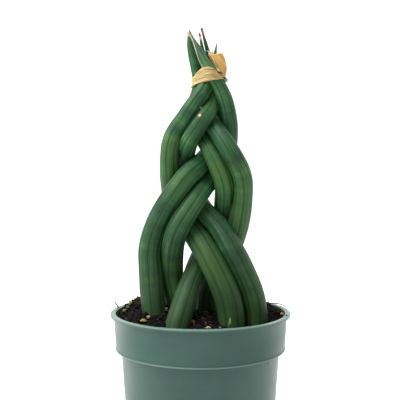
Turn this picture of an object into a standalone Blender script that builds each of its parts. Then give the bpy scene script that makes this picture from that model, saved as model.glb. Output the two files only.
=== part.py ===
"""A braided cylindrical snake plant in a plastic nursery pot.

Six round, ridged, tapering leaves stand in the soil in three strands of two. The strands are braided
and tied near the top with a papery ribbon. Sizes are written in millimetres and turned into metres
where a mesh is made. +Z is up, the viewer is on the -Y side, and the origin is on the pot's axis, on
the surface that the pot stands on.
"""

import math

import bmesh
import bpy
import numpy as np

MM = 0.001
GAP = 0.4  # between pieces that touch

# Pot: a thin-walled moulded plant pot with a lip, a collar and a tapering body.
POT_HEIGHT = 140.0
POT_WALL = 1.5
LIP_RADIUS = 80.0
LIP_THICKNESS = 2.4
COLLAR_TOP_RADIUS = 76.8
COLLAR_FOOT_RADIUS = 75.0
COLLAR_HEIGHT = 31.6
BODY_TOP_RADIUS = 70.2
BODY_FOOT_RADIUS = 62.4
FLOOR_THICKNESS = 2.0
POT_SIDES = 48
DRAIN_COUNT = 6
DRAIN_RADIUS = 5.0
DRAIN_RING_RADIUS = 44.0
DRAIN_SIDES = 16
DRAIN_CUTTER_DEPTH = 20.0

# Soil: low at the front right, heaped round the leaves and up to the lip at the back left.
SOIL_LEVEL = 132.3
SOIL_RINGS = 15
HEAPS = (  # x, y, height, width: broad heaps of soil, and dips at the front
    (-39.0, 8.0, 5.5, 24.0),
    (-58.0, 34.0, 8.0, 20.0),
    (-6.0, 4.0, 3.5, 30.0),
    (38.0, 14.0, 2.5, 26.0),
    (-25.0, -52.0, -5.0, 18.0),
    (28.0, -50.0, -5.0, 22.0),
    (56.0, -22.0, -3.5, 18.0),
)
CRUMB_COUNT = 90
CRUMB_SEED = 7
CRUMB_REACH = 68.0  # crumbs keep this far from the axis at most
CRUMB_HEIGHTS = (0.8, 2.6)
CRUMB_WIDTHS = (2.6, 4.5)

# Leaves: girth is the radius at the foot. Each leaf thins evenly, then closes to a point.
LEAF_SIDES = 18
LEAF_RINGS = 44
SIDES_PER_GROOVE = 3
GROOVE_DEPTH = 0.07  # share of the radius
EVEN_TAPER = 0.37  # share of the girth lost from foot to tip
TIP_POWER = 5.9
TIP_ROUNDNESS = 0.61
FOOT_ROUNDING = 10.0  # length over which the buried foot closes in
FOOT_NARROWING = 0.3  # share of the radius that the foot's end loses
TIP_RADIUS = 0.35
SLENDER_TIPS = {"leaf_left_outer": 0.6, "leaf_right_inner": 0.62, "leaf_right_outer": 0.62}
SLENDER_LENGTH = 38.0  # length over which a slender tip loses its share of the radius
HOLE_CLEARANCE = 0.45
HOLE_TOP = 165.0
HOLE_SIDES = 16
HOLE_RINGS = 9

# Routes of the leaves' centre lines, foot to tip, as x, y, z. They were placed by eye on the photo.
ROUTES = {
    "leaf_left_outer": (11.45, (
        (-37, -9, 107), (-38, -9, 128), (-42, -6, 151), (-45, -2, 179), (-45, -2, 195),
        (-36, -6, 222), (-21, -10, 246), (-12, -10, 260), (-5, -5, 267), (11, 9, 283),
        (18, 12, 293), (21, 11, 306), (19, 10, 319), (12, 9, 353), (6, 5, 376), (1, 4, 395))),
    "leaf_left_inner": (11.15, (
        (-9, 7, 103), (-15, 5, 139), (-21, 2, 161), (-24, -1, 186), (-23, -6, 204),
        (-17, -10, 221), (-6, -11, 239), (0, -7, 248), (10, 8, 265), (17, 10, 276),
        (21, 9, 287), (22, 0, 307), (18, -4, 333), (7, -8, 354), (-7, -4, 385))),
    "leaf_front": (10.7, (
        (-25, -28, 108), (-21, -26, 128), (-18, -22, 140), (-12, -9, 160), (-8, 0, 170),
        (-3, 8, 183), (3, 10, 195), (15, 5, 221), (20, -4, 248), (19, -9, 261), (14, -10, 275),
        (10, -8, 284), (6, -3, 294), (2, 5, 305), (-2, 8, 316), (-1, 6, 326), (2, 0, 343),
        (1, -1, 351), (-11, -1, 390))),
    "leaf_back": (10.85, (
        (-1, 12, 103), (6, 12, 135), (13, 12, 153), (26, 10, 191), (35, 2, 220), (37, -3, 243),
        (34, -8, 262), (23, -11, 280), (13, -5, 296), (4, 6, 312), (1, 9, 321), (-1, 7, 338),
        (1, 6, 356), (-4, 3, 374), (-10, 3, 393))),
    "leaf_right_outer": (11.05, (
        (47, -5, 105), (49, -5, 135), (46, -6, 157), (34, -10, 186), (30, -10, 194),
        (23, -5, 205), (15, 4, 218), (6, 10, 228), (-1, 12, 239), (-8, 11, 249), (-11, 10, 261),
        (-9, -2, 284), (-7, -6, 293), (2, -10, 311), (7, -8, 319), (11, -2, 328), (12, 2, 337),
        (12, 2, 345), (13, 1, 354), (13, 3, 373), (14, 4, 381))),
    "leaf_right_inner": (11.8, (
        (27, -15, 106), (27, -14, 137), (22, -13, 158), (8, -12, 185), (-3, -4, 204),
        (-12, 6, 216), (-19, 10, 227), (-25, 10, 239), (-26, 8, 251), (-24, 0, 274),
        (-19, -4, 297), (-8, -9, 313), (-2, -10, 321), (6, -2, 337), (7, 4, 355), (2, 2, 375),
        (-1, 2, 390))),
}
SPAN_STEPS = 24  # points that the smooth curve gets between two route points
STATIONS = 110  # along each centre line while the leaves are settled against each other
ROUTE_SMOOTHING = 8
SETTLE_STEPS = 220
SETTLE_GAP = 0.8
SETTLE_FADE = 0.998  # each step lets the lines spring back this little towards their routes
PRESS_SMOOTHING = 6
SIDEWAYS_SHARE = 0.12  # leaves give way mostly in depth, as the braid's over and under does

# Ribbon: a band round all six leaves, a knot on its right, a wide flap and a narrow tail.
BAND_EDGES = (  # degrees round from the right, lower edge, upper edge
    (0, 344.3, 350.8), (45, 342.6, 350.4), (90, 341.0, 350.4), (135, 339.4, 349.4),
    (180, 338.0, 348.4), (215, 338.8, 350.2), (245, 340.6, 354.4), (270, 341.6, 355.8),
    (290, 342.4, 355.6), (315, 343.4, 353.6), (360, 344.3, 350.8),
)
BAND_LEVELS = 4
BAND_SIDES = 72
BAND_THICKNESS = 0.8
BAND_CLEARANCE = 0.4
BAND_CRINKLE = 0.15
RIBBON_THICKNESS = 0.9
RIBBON_BOW = 1.2  # how far the middle of a ribbon end stands out towards the viewer
KNOT = (21.8, -8.5, 347.0)
KNOT_RADII = (4.2, 3.0, 3.4)
FLAP_SPINE = ((20.4, -8.6, 348.5), (18.6, -9.8, 356.5), (16.2, -9.6, 362.0), (13.6, -8.8, 367.5))
FLAP_WIDTHS = (4.5, 9.5, 11.5, 12.3)
FLAP_ACROSS = (0.98, 0.1, 0.13)
TAIL_SPINE = ((19.8, -8.0, 350.0), (16.0, -7.4, 358.0), (12.0, -6.8, 364.5), (9.0, -6.6, 370.0))
TAIL_WIDTHS = (3.0, 3.2, 3.4, 3.8)
TAIL_ACROSS = (0.86, 0.1, 0.5)

# Shoot: a young leaf's green spike. Its hole in the soil is open above the tip.
SHOOT_FOOT = (23.9, -40.0, 119.0)
SHOOT_TIP = (24.8, -39.0, 141.5)
SHOOT_RADIUS = 1.9
SHOOT_SIDES = 10
SHOOT_RINGS = 8
SHOOT_TIP_RADIUS = 0.3
SHOOT_HOLE_RISE = 10.0


def clear_scene():
    """Remove every object of the file that the script starts in."""
    for obj in list(bpy.data.objects):
        bpy.data.objects.remove(obj)


def new_collection(name):
    """A collection linked to the scene."""
    collection = bpy.data.collections.new(name)
    bpy.context.scene.collection.children.link(collection)
    return collection


def material(name, colour, roughness, metallic=0.0):
    """A plain Principled material."""
    made = bpy.data.materials.new(name)
    made.use_nodes = True
    shader = made.node_tree.nodes["Principled BSDF"]
    shader.inputs["Base Color"].default_value = (*colour, 1.0)
    shader.inputs["Roughness"].default_value = roughness
    shader.inputs["Metallic"].default_value = metallic
    return made


def add_object(name, data, collection, finish=None):
    """An object for mesh or curve data, in a collection, with its material."""
    obj = bpy.data.objects.new(name, data)
    collection.objects.link(obj)
    if finish:
        obj.data.materials.append(finish)
    return obj


def make_guide(obj):
    """Mark a cutter or a guide, which is no piece of the plant."""
    obj.hide_render = True
    obj.display_type = "WIRE"


def as_mesh(obj, collection, finish=None):
    """Replace a curve, or an object with modifiers, by the plain closed mesh it makes."""
    graph = bpy.context.evaluated_depsgraph_get()
    mesh = bpy.data.meshes.new_from_object(obj.evaluated_get(graph))
    tidy = bmesh.new()
    tidy.from_mesh(mesh)
    bmesh.ops.remove_doubles(tidy, verts=tidy.verts, dist=1e-6)
    bmesh.ops.recalc_face_normals(tidy, faces=tidy.faces)
    tidy.to_mesh(mesh)
    tidy.free()
    mesh.materials.clear()
    name = obj.name
    matrix = obj.matrix_world.copy()
    bpy.data.objects.remove(obj)
    made = add_object(name, mesh, collection, finish)
    made.matrix_world = matrix
    return made


def boolean(obj, other, operation, solver="EXACT"):
    """Add one Boolean modifier."""
    modifier = obj.modifiers.new(operation.title(), "BOOLEAN")
    modifier.operation = operation
    modifier.object = other
    modifier.solver = solver
    return modifier


def smooth_line(points, count):
    """A smooth curve through the points, read at even steps along its length."""
    ends = np.vstack([2 * points[0] - points[1], points, 2 * points[-1] - points[-2]])
    step = np.linspace(0.0, 1.0, SPAN_STEPS, endpoint=False)[:, None]
    runs = []
    for a, b, c, d in zip(ends[:-3], ends[1:-2], ends[2:-1], ends[3:]):
        cubic = (3 * b - a - 3 * c + d) * step**3
        square = (2 * a - 5 * b + 4 * c - d) * step**2
        runs.append(0.5 * (2 * b + (c - a) * step + square + cubic))
    line = np.vstack(runs + [points[-1:]])
    return resample(line, count)


def resample(line, count):
    """The same line with this many points at even steps."""
    steps = np.linalg.norm(np.diff(line[:, :3], axis=0), axis=1)
    length = np.concatenate([[0.0], np.cumsum(steps)])
    even = np.linspace(0.0, length[-1], count)
    return np.stack([np.interp(even, length, column) for column in line.T], axis=1)


def leaf_radii(line, girth, slender):
    """The radius at each point: a closed foot, an even taper and a pointed, often slender tip."""
    steps = np.linalg.norm(np.diff(line[:, :3], axis=0), axis=1)
    length = np.concatenate([[0.0], np.cumsum(steps)])
    along = length / length[-1]
    radii = girth * (1 - EVEN_TAPER * along) * (1 - along**TIP_POWER) ** TIP_ROUNDNESS
    near_tip = np.clip(1.8 * (1 - (length[-1] - length) / SLENDER_LENGTH), 0.0, 1.0)
    radii = radii * (1 - (1 - slender) * near_tip)
    buried = np.clip(1 - length / FOOT_ROUNDING, 0.0, 1.0)
    return np.maximum(radii * (1 - FOOT_NARROWING * buried**2), TIP_RADIUS)


def smooth_rows(values, times):
    """Even out neighbouring rows, with the two ends held."""
    for _ in range(times):
        inner = 0.25 * values[:-2] + 0.5 * values[1:-1] + 0.25 * values[2:]
        values = np.vstack([values[:1], inner, values[-1:]])
    return values


def settle(lines, radii):
    """Push crossing leaves apart until they only touch, mostly in depth."""
    rest = lines.copy()
    weights = np.array([SIDEWAYS_SHARE, 1.0, SIDEWAYS_SHARE])
    rows = np.arange(lines.shape[1])
    for _ in range(SETTLE_STEPS):
        push = np.zeros_like(lines)
        for i in range(len(lines)):
            for j in range(i + 1, len(lines)):
                apart = lines[i, :, None] - lines[j, None]
                distance = np.maximum(np.linalg.norm(apart, axis=2), 1e-6)
                short = radii[i, :, None] + radii[j, None] + SETTLE_GAP - distance
                short = np.maximum(short, 0.0)
                if not short.any():
                    continue
                shove = 0.5 * short[..., None] * apart / distance[..., None]
                push[i] += shove[rows, short.argmax(axis=1)]
                push[j] -= shove[short.argmax(axis=0), rows]
        lines = lines + push * weights
        moved = [smooth_rows(line, 2) for line in lines - rest]
        lines = rest + SETTLE_FADE * np.array(moved)
    return lines


def press(lines, radii):
    """Narrow the leaves a little where they still press on each other, as soft leaves do."""
    limit = radii.copy()
    for i in range(len(lines)):
        for j in range(len(lines)):
            if i == j:
                continue
            distance = np.linalg.norm(lines[i, :, None] - lines[j, None], axis=2)
            share = radii[i, :, None] / (radii[i, :, None] + radii[j, None])
            room = ((distance - GAP) * share).min(axis=1)
            limit[i] = np.minimum(limit[i], room)
    for _ in range(PRESS_SMOOTHING):
        spread = np.pad(limit, ((0, 0), (1, 1)), mode="edge")
        mean = (spread[:, :-2] + spread[:, 1:-1] + spread[:, 2:]) / 3
        limit = np.minimum(limit, mean)
    return np.maximum(limit, TIP_RADIUS)


def leaf_lines():
    """Settled centre lines and radii of all six leaves, by name."""
    lines = [smooth_line(np.array(route, float), STATIONS) for _, route in ROUTES.values()]
    lines = [smooth_rows(line, ROUTE_SMOOTHING) for line in lines]
    radii = [
        leaf_radii(line, girth, SLENDER_TIPS.get(name, 1.0))
        for line, (name, (girth, _)) in zip(lines, ROUTES.items())
    ]
    lines = settle(np.array(lines), np.array(radii))
    radii = press(lines, np.array(radii))
    rings = [resample(np.column_stack(pair), LEAF_RINGS) for pair in zip(lines, radii)]
    return {name: (ring[:, :3], ring[:, 3]) for name, ring in zip(ROUTES, rings)}


def ring_profile(name, sides, groove_every, collection, reach=1.0):
    """A closed outline of this radius in metres to sweep, grooved at every few corners."""
    curve = bpy.data.curves.new(name, "CURVE")
    curve.dimensions = "2D"
    spline = curve.splines.new("POLY")
    spline.points.add(sides - 1)
    for index, point in enumerate(spline.points):
        groove = groove_every and index % groove_every == 0
        radius = reach * (1 - GROOVE_DEPTH) if groove else reach
        angle = 2 * math.pi * index / sides
        point.co = (radius * math.cos(angle), radius * math.sin(angle), 0.0, 1.0)
    spline.use_cyclic_u = True
    guide = add_object(name, curve, collection)
    make_guide(guide)
    return guide


def swept(name, line, radii, profile, collection, finish=None):
    """A tapering tube along a line, with the profile's outline and closed ends."""
    curve = bpy.data.curves.new(name, "CURVE")
    curve.dimensions = "3D"
    curve.bevel_mode = "OBJECT"
    curve.bevel_object = profile
    curve.use_fill_caps = True
    spline = curve.splines.new("POLY")
    spline.points.add(len(line) - 1)
    for point, place, radius in zip(spline.points, line, radii):
        point.co = (*(place * MM), 1.0)
        point.radius = radius * MM
    return as_mesh(add_object(name, curve, collection), collection, finish)


def build_leaves(lines, guides, parts):
    """The six leaves, each one swept body."""
    profile = ring_profile("leaf_outline", LEAF_SIDES, SIDES_PER_GROOVE, guides)
    for name, (line, radii) in lines.items():
        colour = (0.075, 0.17, 0.075)
        finish = material(name + "_skin", colour, 0.45)
        leaf = swept(name, line, radii, profile, parts, finish)
        leaf.data.shade_smooth()


def turned(name, profile, collection, finish=None):
    """A body of revolution from an outline given as radius and height."""
    mesh = bpy.data.meshes.new(name)
    outline = [(radius * MM, 0.0, height * MM) for radius, height in profile]
    mesh.from_pydata(outline, [(k, k + 1) for k in range(len(outline) - 1)], [])
    obj = add_object(name, mesh, collection, finish)
    screw = obj.modifiers.new("Screw", "SCREW")
    screw.steps = POT_SIDES
    screw.render_steps = POT_SIDES
    screw.use_merge_vertices = True
    screw.merge_threshold = 0.00001
    return obj


def pot_outline():
    """The pot's section: up the inside, over the lip, down the outside to the middle of the foot."""
    collar_foot = POT_HEIGHT - COLLAR_HEIGHT
    inner_top = COLLAR_TOP_RADIUS - POT_WALL
    lip_under = POT_HEIGHT - LIP_THICKNESS
    return (
        (0.0, FLOOR_THICKNESS),
        (BODY_FOOT_RADIUS - 4.0, FLOOR_THICKNESS),
        (BODY_FOOT_RADIUS - POT_WALL, FLOOR_THICKNESS + 2.5),
        (BODY_TOP_RADIUS - POT_WALL, collar_foot - 1.5),
        (COLLAR_FOOT_RADIUS - POT_WALL - 1.0, collar_foot + 2.0),
        (inner_top - 0.8, POT_HEIGHT - 14.0),
        (inner_top, POT_HEIGHT - 0.6),
        (inner_top + 0.6, POT_HEIGHT),
        (LIP_RADIUS - 0.7, POT_HEIGHT),
        (LIP_RADIUS, POT_HEIGHT - 0.7),
        (LIP_RADIUS, lip_under + 0.5),
        (LIP_RADIUS - 0.6, lip_under),
        (COLLAR_TOP_RADIUS, lip_under - 0.5),
        (COLLAR_TOP_RADIUS - 0.7, POT_HEIGHT - 16.0),
        (COLLAR_FOOT_RADIUS, collar_foot + 3.0),
        (COLLAR_FOOT_RADIUS - 0.7, collar_foot + 0.9),
        (COLLAR_FOOT_RADIUS - 2.0, collar_foot),
        (BODY_TOP_RADIUS, collar_foot - 0.2),
        (BODY_FOOT_RADIUS + 0.6, 6.0),
        (BODY_FOOT_RADIUS, 2.0),
        (BODY_FOOT_RADIUS - 1.8, 0.0),
        (0.0, 0.0),
    )


def build_pot(guides, parts):
    """The turned pot with its ring of drainage holes."""
    finish = material("pot_plastic", (0.075, 0.125, 0.105), 0.38)
    pot = turned("pot", pot_outline(), parts, finish)
    pot = as_mesh(pot, parts, finish)
    for index in range(DRAIN_COUNT):
        angle = 2 * math.pi * (index + 0.5) / DRAIN_COUNT
        x = DRAIN_RING_RADIUS * MM * math.cos(angle)
        y = DRAIN_RING_RADIUS * MM * math.sin(angle)
        bpy.ops.mesh.primitive_cylinder_add(
            vertices=DRAIN_SIDES,
            radius=DRAIN_RADIUS * MM,
            depth=DRAIN_CUTTER_DEPTH * MM,
            location=(x, y, 0.0),
        )
        cutter = bpy.context.active_object
        cutter.name = f"drain_cutter_{index}"
        move_to(cutter, guides)
        make_guide(cutter)
        boolean(pot, cutter, "DIFFERENCE")
    pot.data.shade_smooth()
    pot.data.set_sharp_from_angle(angle=math.radians(35))


def move_to(obj, collection):
    """Put an object in one collection only."""
    for holder in list(obj.users_collection):
        holder.objects.unlink(obj)
    collection.objects.link(obj)


def soil_relief():
    """A function that gives the soil's height at a place: broad heaps and seeded crumbs."""
    random = np.random.default_rng(CRUMB_SEED)
    turn = random.uniform(0, 2 * math.pi, CRUMB_COUNT)
    reach = CRUMB_REACH * np.sqrt(random.uniform(0.02, 1, CRUMB_COUNT))
    heights = random.uniform(*CRUMB_HEIGHTS, CRUMB_COUNT)
    widths = random.uniform(*CRUMB_WIDTHS, CRUMB_COUNT)
    crumbs = zip(reach * np.cos(turn), reach * np.sin(turn), heights, widths)
    bumps = list(HEAPS) + list(crumbs)

    def height(x, y):
        rise = 0.0
        for bump_x, bump_y, bump_height, width in bumps:
            away = ((x - bump_x) ** 2 + (y - bump_y) ** 2) / width**2
            if away < 9:
                rise += bump_height * math.exp(-away)
        return SOIL_LEVEL + rise

    return height


def soil_wall():
    """The soil's outside, just clear of the pot's inside: radius and height, foot to top."""
    inside = pot_outline()[1:6]
    wall = [(radius - GAP, height) for radius, height in inside]
    wall[0] = (inside[0][0] - GAP, inside[0][1] + GAP)
    wall[1] = (inside[1][0] - GAP, inside[1][1] + GAP)
    return wall


def build_soil(lines, guides, parts):
    """The soil: a turned side, a top raised by the relief, and a plain hole for each leaf."""
    height = soil_relief()
    wall = soil_wall()
    rim = wall[-1][0]
    body = bmesh.new()
    rings = [ring_of(body, radius, lambda x, y, z=z: z) for radius, z in wall[:-1]]
    for index in range(SOIL_RINGS):
        radius = rim * (1 - index / SOIL_RINGS)
        rings.append(ring_of(body, radius, height))
    for low, high in zip(rings, rings[1:]):
        bridge(body, low, high)
    cap(body, rings[0], (0, 0, wall[0][1]), inward=False)
    cap(body, rings[-1], (0, 0, height(0, 0)), inward=True)
    mesh = bpy.data.meshes.new("soil")
    body.to_mesh(mesh)
    body.free()
    finish = material("potting_mix", (0.022, 0.017, 0.013), 0.95)
    soil = add_object("soil", mesh, parts, finish)
    round_the_leaf = 1 / math.cos(math.pi / HOLE_SIDES)
    outline = ring_profile("hole_outline", HOLE_SIDES, 0, guides, round_the_leaf)
    for name, (line, radii) in lines.items():
        below = line[:, 2] < HOLE_TOP
        foot = line[below]
        foot[0, 2] -= HOLE_CLEARANCE
        wide = radii[below] + HOLE_CLEARANCE
        hole = resample(np.column_stack([foot, wide]), HOLE_RINGS)
        cutter = swept(name + "_hole", hole[:, :3], hole[:, 3], outline, guides)
        make_guide(cutter)
        boolean(soil, cutter, "DIFFERENCE")
    cutter = shoot_body("shoot_hole", HOLE_CLEARANCE, guides)
    make_guide(cutter)
    boolean(soil, cutter, "DIFFERENCE")


def ring_of(body, radius, height):
    """One ring of vertices round the axis, with its height read at each."""
    ring = []
    for index in range(POT_SIDES):
        angle = 2 * math.pi * index / POT_SIDES
        x = radius * math.cos(angle)
        y = radius * math.sin(angle)
        ring.append(body.verts.new((x * MM, y * MM, height(x, y) * MM)))
    return ring


def bridge(body, low, high):
    """Triangles between two rings of equal count, facing away from what they go round."""
    for index in range(len(low)):
        after = (index + 1) % len(low)
        body.faces.new((low[index], low[after], high[after]))
        body.faces.new((low[index], high[after], high[index]))


def cap(body, ring, centre, inward):
    """A fan that closes a ring, upwards when inward."""
    middle = body.verts.new([value * MM for value in centre])
    for index in range(len(ring)):
        pair = (ring[index], ring[(index + 1) % len(ring)])
        body.faces.new((*pair, middle) if inward else (*reversed(pair), middle))


def dense_lines(lines):
    """The leaves' lines with many points between their rings, as a list."""
    tables = [resample(np.column_stack(pair), 9 * LEAF_RINGS) for pair in lines.values()]
    return [(table[:, :3], table[:, 3]) for table in tables]


def hull_reach(bundle, height, angle):
    """The point of the leaf bundle that lies furthest that way at one height."""
    way = np.array([math.cos(angle), math.sin(angle)])
    best = None
    for line, radii in bundle:
        away = radii**2 - (line[:, 2] - height) ** 2
        touching = away > 0
        if not touching.any():
            continue
        slice_radius = np.sqrt(away[touching])
        reach = line[touching, :2] @ way + slice_radius
        far = reach.argmax()
        if best is None or reach[far] > best[0]:
            best = (reach[far], line[touching, :2][far] + slice_radius[far] * way)
    return best[1]


def band_ring(body, bundle, level, offset):
    """One ring of the ribbon band, this far off the bundle."""
    low_to_high = level / (BAND_LEVELS - 1)
    turns, lows, highs = np.array(BAND_EDGES, float).T
    ring = []
    for index in range(BAND_SIDES):
        degrees = 360 * index / BAND_SIDES
        angle = math.radians(degrees)
        crinkle = BAND_CRINKLE * math.sin(5 * angle + 2.0 * level)
        low = np.interp(degrees, turns, lows)
        high = np.interp(degrees, turns, highs)
        height = low + (high - low) * low_to_high
        x, y = hull_reach(bundle, height, angle)
        x += (offset + crinkle) * math.cos(angle)
        y += (offset + crinkle) * math.sin(angle)
        ring.append(body.verts.new((x * MM, y * MM, height * MM)))
    return ring


def band_mesh(bundle):
    """The closed band: outside, top edge, inside and bottom edge."""
    body = bmesh.new()
    inner = BAND_CLEARANCE + BAND_CRINKLE
    outer = inner + BAND_THICKNESS
    levels = range(BAND_LEVELS)
    outside = [band_ring(body, bundle, level, outer) for level in levels]
    inside = [band_ring(body, bundle, level, inner) for level in levels]
    loop = outside + inside[::-1]
    for low, high in zip(loop, loop[1:] + loop[:1]):
        bridge(body, low, high)
    mesh = bpy.data.meshes.new("ribbon_tie")
    body.to_mesh(mesh)
    body.free()
    return mesh


def strip(name, spine, widths, across, collection):
    """A ribbon end: an open sheet along a spine, given its thickness by Solidify."""
    body = bmesh.new()
    across = np.array(across, float)
    rows = []
    for place, width in zip(spine, widths):
        place = np.array(place, float)
        row = []
        for share in (-1.0, -0.33, 0.33, 1.0):
            bow = np.array([0.0, -RIBBON_BOW, 0.0]) * (1 - share**2)
            row.append(body.verts.new((place + share * 0.5 * width * across + bow) * MM))
        rows.append(row)
    for low, high in zip(rows, rows[1:]):
        for k in range(3):
            body.faces.new((low[k], low[k + 1], high[k + 1], high[k]))
    mesh = bpy.data.meshes.new(name)
    body.to_mesh(mesh)
    body.free()
    obj = add_object(name, mesh, collection)
    solid = obj.modifiers.new("Solidify", "SOLIDIFY")
    solid.thickness = RIBBON_THICKNESS * MM
    solid.offset = 0.0
    return obj


def knot_ball(collection):
    """The knot: a flattened ball with its size and place in its mesh."""
    body = bmesh.new()
    bmesh.ops.create_uvsphere(body, u_segments=14, v_segments=8, radius=1.0)
    bmesh.ops.scale(body, vec=[value * MM for value in KNOT_RADII], verts=body.verts)
    bmesh.ops.translate(body, vec=[value * MM for value in KNOT], verts=body.verts)
    mesh = bpy.data.meshes.new("knot")
    body.to_mesh(mesh)
    body.free()
    return add_object("knot", mesh, collection)


def build_tie(lines, guides, parts):
    """The ribbon: band, knot, flap and tail, joined into one body."""
    finish = material("raffia_paper", (0.56, 0.37, 0.13), 0.7)
    bundle = dense_lines(lines)
    tie = add_object("ribbon_tie", band_mesh(bundle), parts, finish)
    ball = knot_ball(guides)
    flap = strip("flap", FLAP_SPINE, FLAP_WIDTHS, FLAP_ACROSS, guides)
    tail = strip("tail", TAIL_SPINE, TAIL_WIDTHS, TAIL_ACROSS, guides)
    for piece in (ball, flap, tail):
        make_guide(piece)
        boolean(tie, piece, "UNION", "MANIFOLD")


def shoot_body(name, extra, collection, finish=None):
    """The young spike, or its wider hole: a turned cone that leans a little."""
    foot = np.array(SHOOT_FOOT)
    tip = np.array(SHOOT_TIP)
    if extra:
        foot = foot - (0.0, 0.0, extra)
        tip = tip + (0.0, 0.0, SHOOT_HOLE_RISE)
    line = smooth_line(np.array([foot, 0.5 * (foot + tip) - (0.4, 0.0, 0.0), tip]), SHOOT_RINGS)
    along = np.linspace(0.0, 1.0, len(line))
    radii = np.maximum(SHOOT_RADIUS * (1 - along**3) ** 0.7, SHOOT_TIP_RADIUS)
    if extra:
        radii = np.full(len(line), SHOOT_RADIUS + extra)
    outline = bpy.data.objects.get("shoot_outline")
    return swept(name, line, radii, outline, collection, finish)


def build_shoot(guides, parts):
    """The young shoot in front of the leaves."""
    ring_profile("shoot_outline", SHOOT_SIDES, 0, guides)
    finish = material("young_shoot_skin", (0.16, 0.3, 0.09), 0.45)
    shoot = shoot_body("young_shoot", 0.0, parts, finish)
    shoot.data.shade_smooth()


def main():
    """Build the whole plant."""
    clear_scene()
    parts = new_collection("cylindrical_snake_plant")
    guides = new_collection("guides_and_cutters")
    lines = leaf_lines()
    build_leaves(lines, guides, parts)
    build_pot(guides, parts)
    build_shoot(guides, parts)
    build_soil(lines, guides, parts)
    build_tie(lines, guides, parts)


main()
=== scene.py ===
"""A braided cylindrical snake plant in a plastic nursery pot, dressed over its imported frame.

Six waxy, grooved leaves stand in dark potting mix in three strands of two. They are braided and tied
near the top with a strip of golden raffia paper. Lengths are written in millimetres and turned into
metres where a mesh is made. +Z is up, the viewer is on the -Y side, and the origin is on the pot's
axis, on the surface that the pot stands on.
"""

import math

import bmesh
import bpy
import numpy as np
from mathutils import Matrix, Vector


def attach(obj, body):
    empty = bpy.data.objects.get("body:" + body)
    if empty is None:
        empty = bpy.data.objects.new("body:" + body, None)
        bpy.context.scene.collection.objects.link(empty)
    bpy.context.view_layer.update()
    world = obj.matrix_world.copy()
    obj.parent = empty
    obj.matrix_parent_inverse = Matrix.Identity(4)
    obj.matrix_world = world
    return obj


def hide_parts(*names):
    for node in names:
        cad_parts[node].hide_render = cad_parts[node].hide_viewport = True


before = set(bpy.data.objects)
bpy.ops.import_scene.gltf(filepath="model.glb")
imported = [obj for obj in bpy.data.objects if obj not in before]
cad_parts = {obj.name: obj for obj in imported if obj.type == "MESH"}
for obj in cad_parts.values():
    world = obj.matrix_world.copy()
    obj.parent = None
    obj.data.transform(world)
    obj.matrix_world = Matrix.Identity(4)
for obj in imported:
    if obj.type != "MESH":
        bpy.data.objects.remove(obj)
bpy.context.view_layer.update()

MM = 0.001
FULL_TURN = 6.283  # the most that a crumb is turned about each axis
CURVE_STEPS = 24  # points of a smooth curve between two of its given ones
DOUBLES = 1e-7  # points nearer than this, in metres, are one

# The photograph's viewpoint: level, in front of the plant, a little over half its height.
CAMERA_PLACE = (-0.36, -530.0, 239.4)
CAMERA_LENS = 53.1
CAMERA_SENSOR = 36.0
LIGHT_AIM = (0.0, 0.0, 230.0)
SOFTBOX_SIZE = 900.0
SOFTBOXES = (  # name, place and watts: the key from the upper left, and a weak fill from above
    ("key_softbox", (-700.0, -500.0, 1050.0), 11.0),
    ("top_softbox", (-100.0, 150.0, 1200.0), 4.0),
)
TENT_FRONT = 0.07  # brightness of the white surround in front of the plant and behind it
TENT_BACK = 1.35
FLOOR_REACH = 6000.0
FLOOR_GLOW = 0.75  # the floor's own light, which grows between these two depths
FLOOR_GLOW_DEPTHS = (-150.0, 170.0)
FLOOR_FADE = (250.0, 900.0)  # distances between which the eye sees the floor fade into the surround

# Pot: a thin-walled moulded plant pot with a lip, a collar and a tapering body.
POT_HEIGHT = 140.0
POT_WALL = 1.5
LIP_RADIUS = 80.0
LIP_THICKNESS = 2.4
COLLAR_TOP_RADIUS = 76.8
COLLAR_FOOT_RADIUS = 75.0
COLLAR_HEIGHT = 31.6
BODY_TOP_RADIUS = 70.2
BODY_FOOT_RADIUS = 62.4
FLOOR_THICKNESS = 2.0
POT_SIDES = 160
SEAM_MERGE = 0.00001  # in metres, where the turned shape closes on itself
SHARP_EDGE = math.radians(38)
DRAIN_COUNT = 6
DRAIN_RADIUS = 5.0
DRAIN_RING_RADIUS = 44.0
DRAIN_SIDES = 40
DRAIN_CUT = 20.0  # length of the cutter
SMUDGE = (56.0, -42.0, 105.0)  # a small dark mark just under the collar
PAINTED_EDGE_HIGHLIGHTS = (  # height and reach of the painted highlight lines along the collar's foot and the lip
    (POT_HEIGHT - COLLAR_HEIGHT + 0.8, 0.9),
    (POT_HEIGHT - 0.2, 1.3),
)

# Soil: low at the front right, heaped round the leaves and up to the lip at the back left.
SOIL_LEVEL = 132.3
SOIL_SIDES = 120
SOIL_RINGS = 40
SOIL_GAP = 0.4
SOIL_MIDDLE = 0.02  # radius of the tiny ring that ends the soil's rings at the axis
SOIL_SHOULDER = 2.0  # the body's side ends this far under the soil's level
HEAPS = (  # x, y, height, width: broad heaps of soil, and dips at the front
    (-39.0, 8.0, 5.5, 24.0), (-58.0, 36.0, 12.0, 20.0), (-68.0, 12.0, 5.0, 13.0),
    (-6.0, 4.0, 4.5, 28.0), (38.0, 14.0, 2.5, 26.0), (4.0, 52.0, 9.0, 24.0),
    (58.0, 40.0, 9.0, 24.0), (72.0, 12.0, 4.0, 14.0), (-48.0, -9.0, 4.5, 12.0),
    (-29.0, -3.0, 5.0, 9.0), (-40.0, -24.0, 3.0, 8.0), (2.0, -16.0, 2.5, 12.0),
    (-25.0, -52.0, -5.0, 18.0), (-36.0, -46.0, -3.0, 12.0), (-26.0, -40.0, -4.5, 9.0),
    (28.0, -44.0, -7.0, 22.0), (58.0, -24.0, -6.0, 18.0),
)
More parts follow.
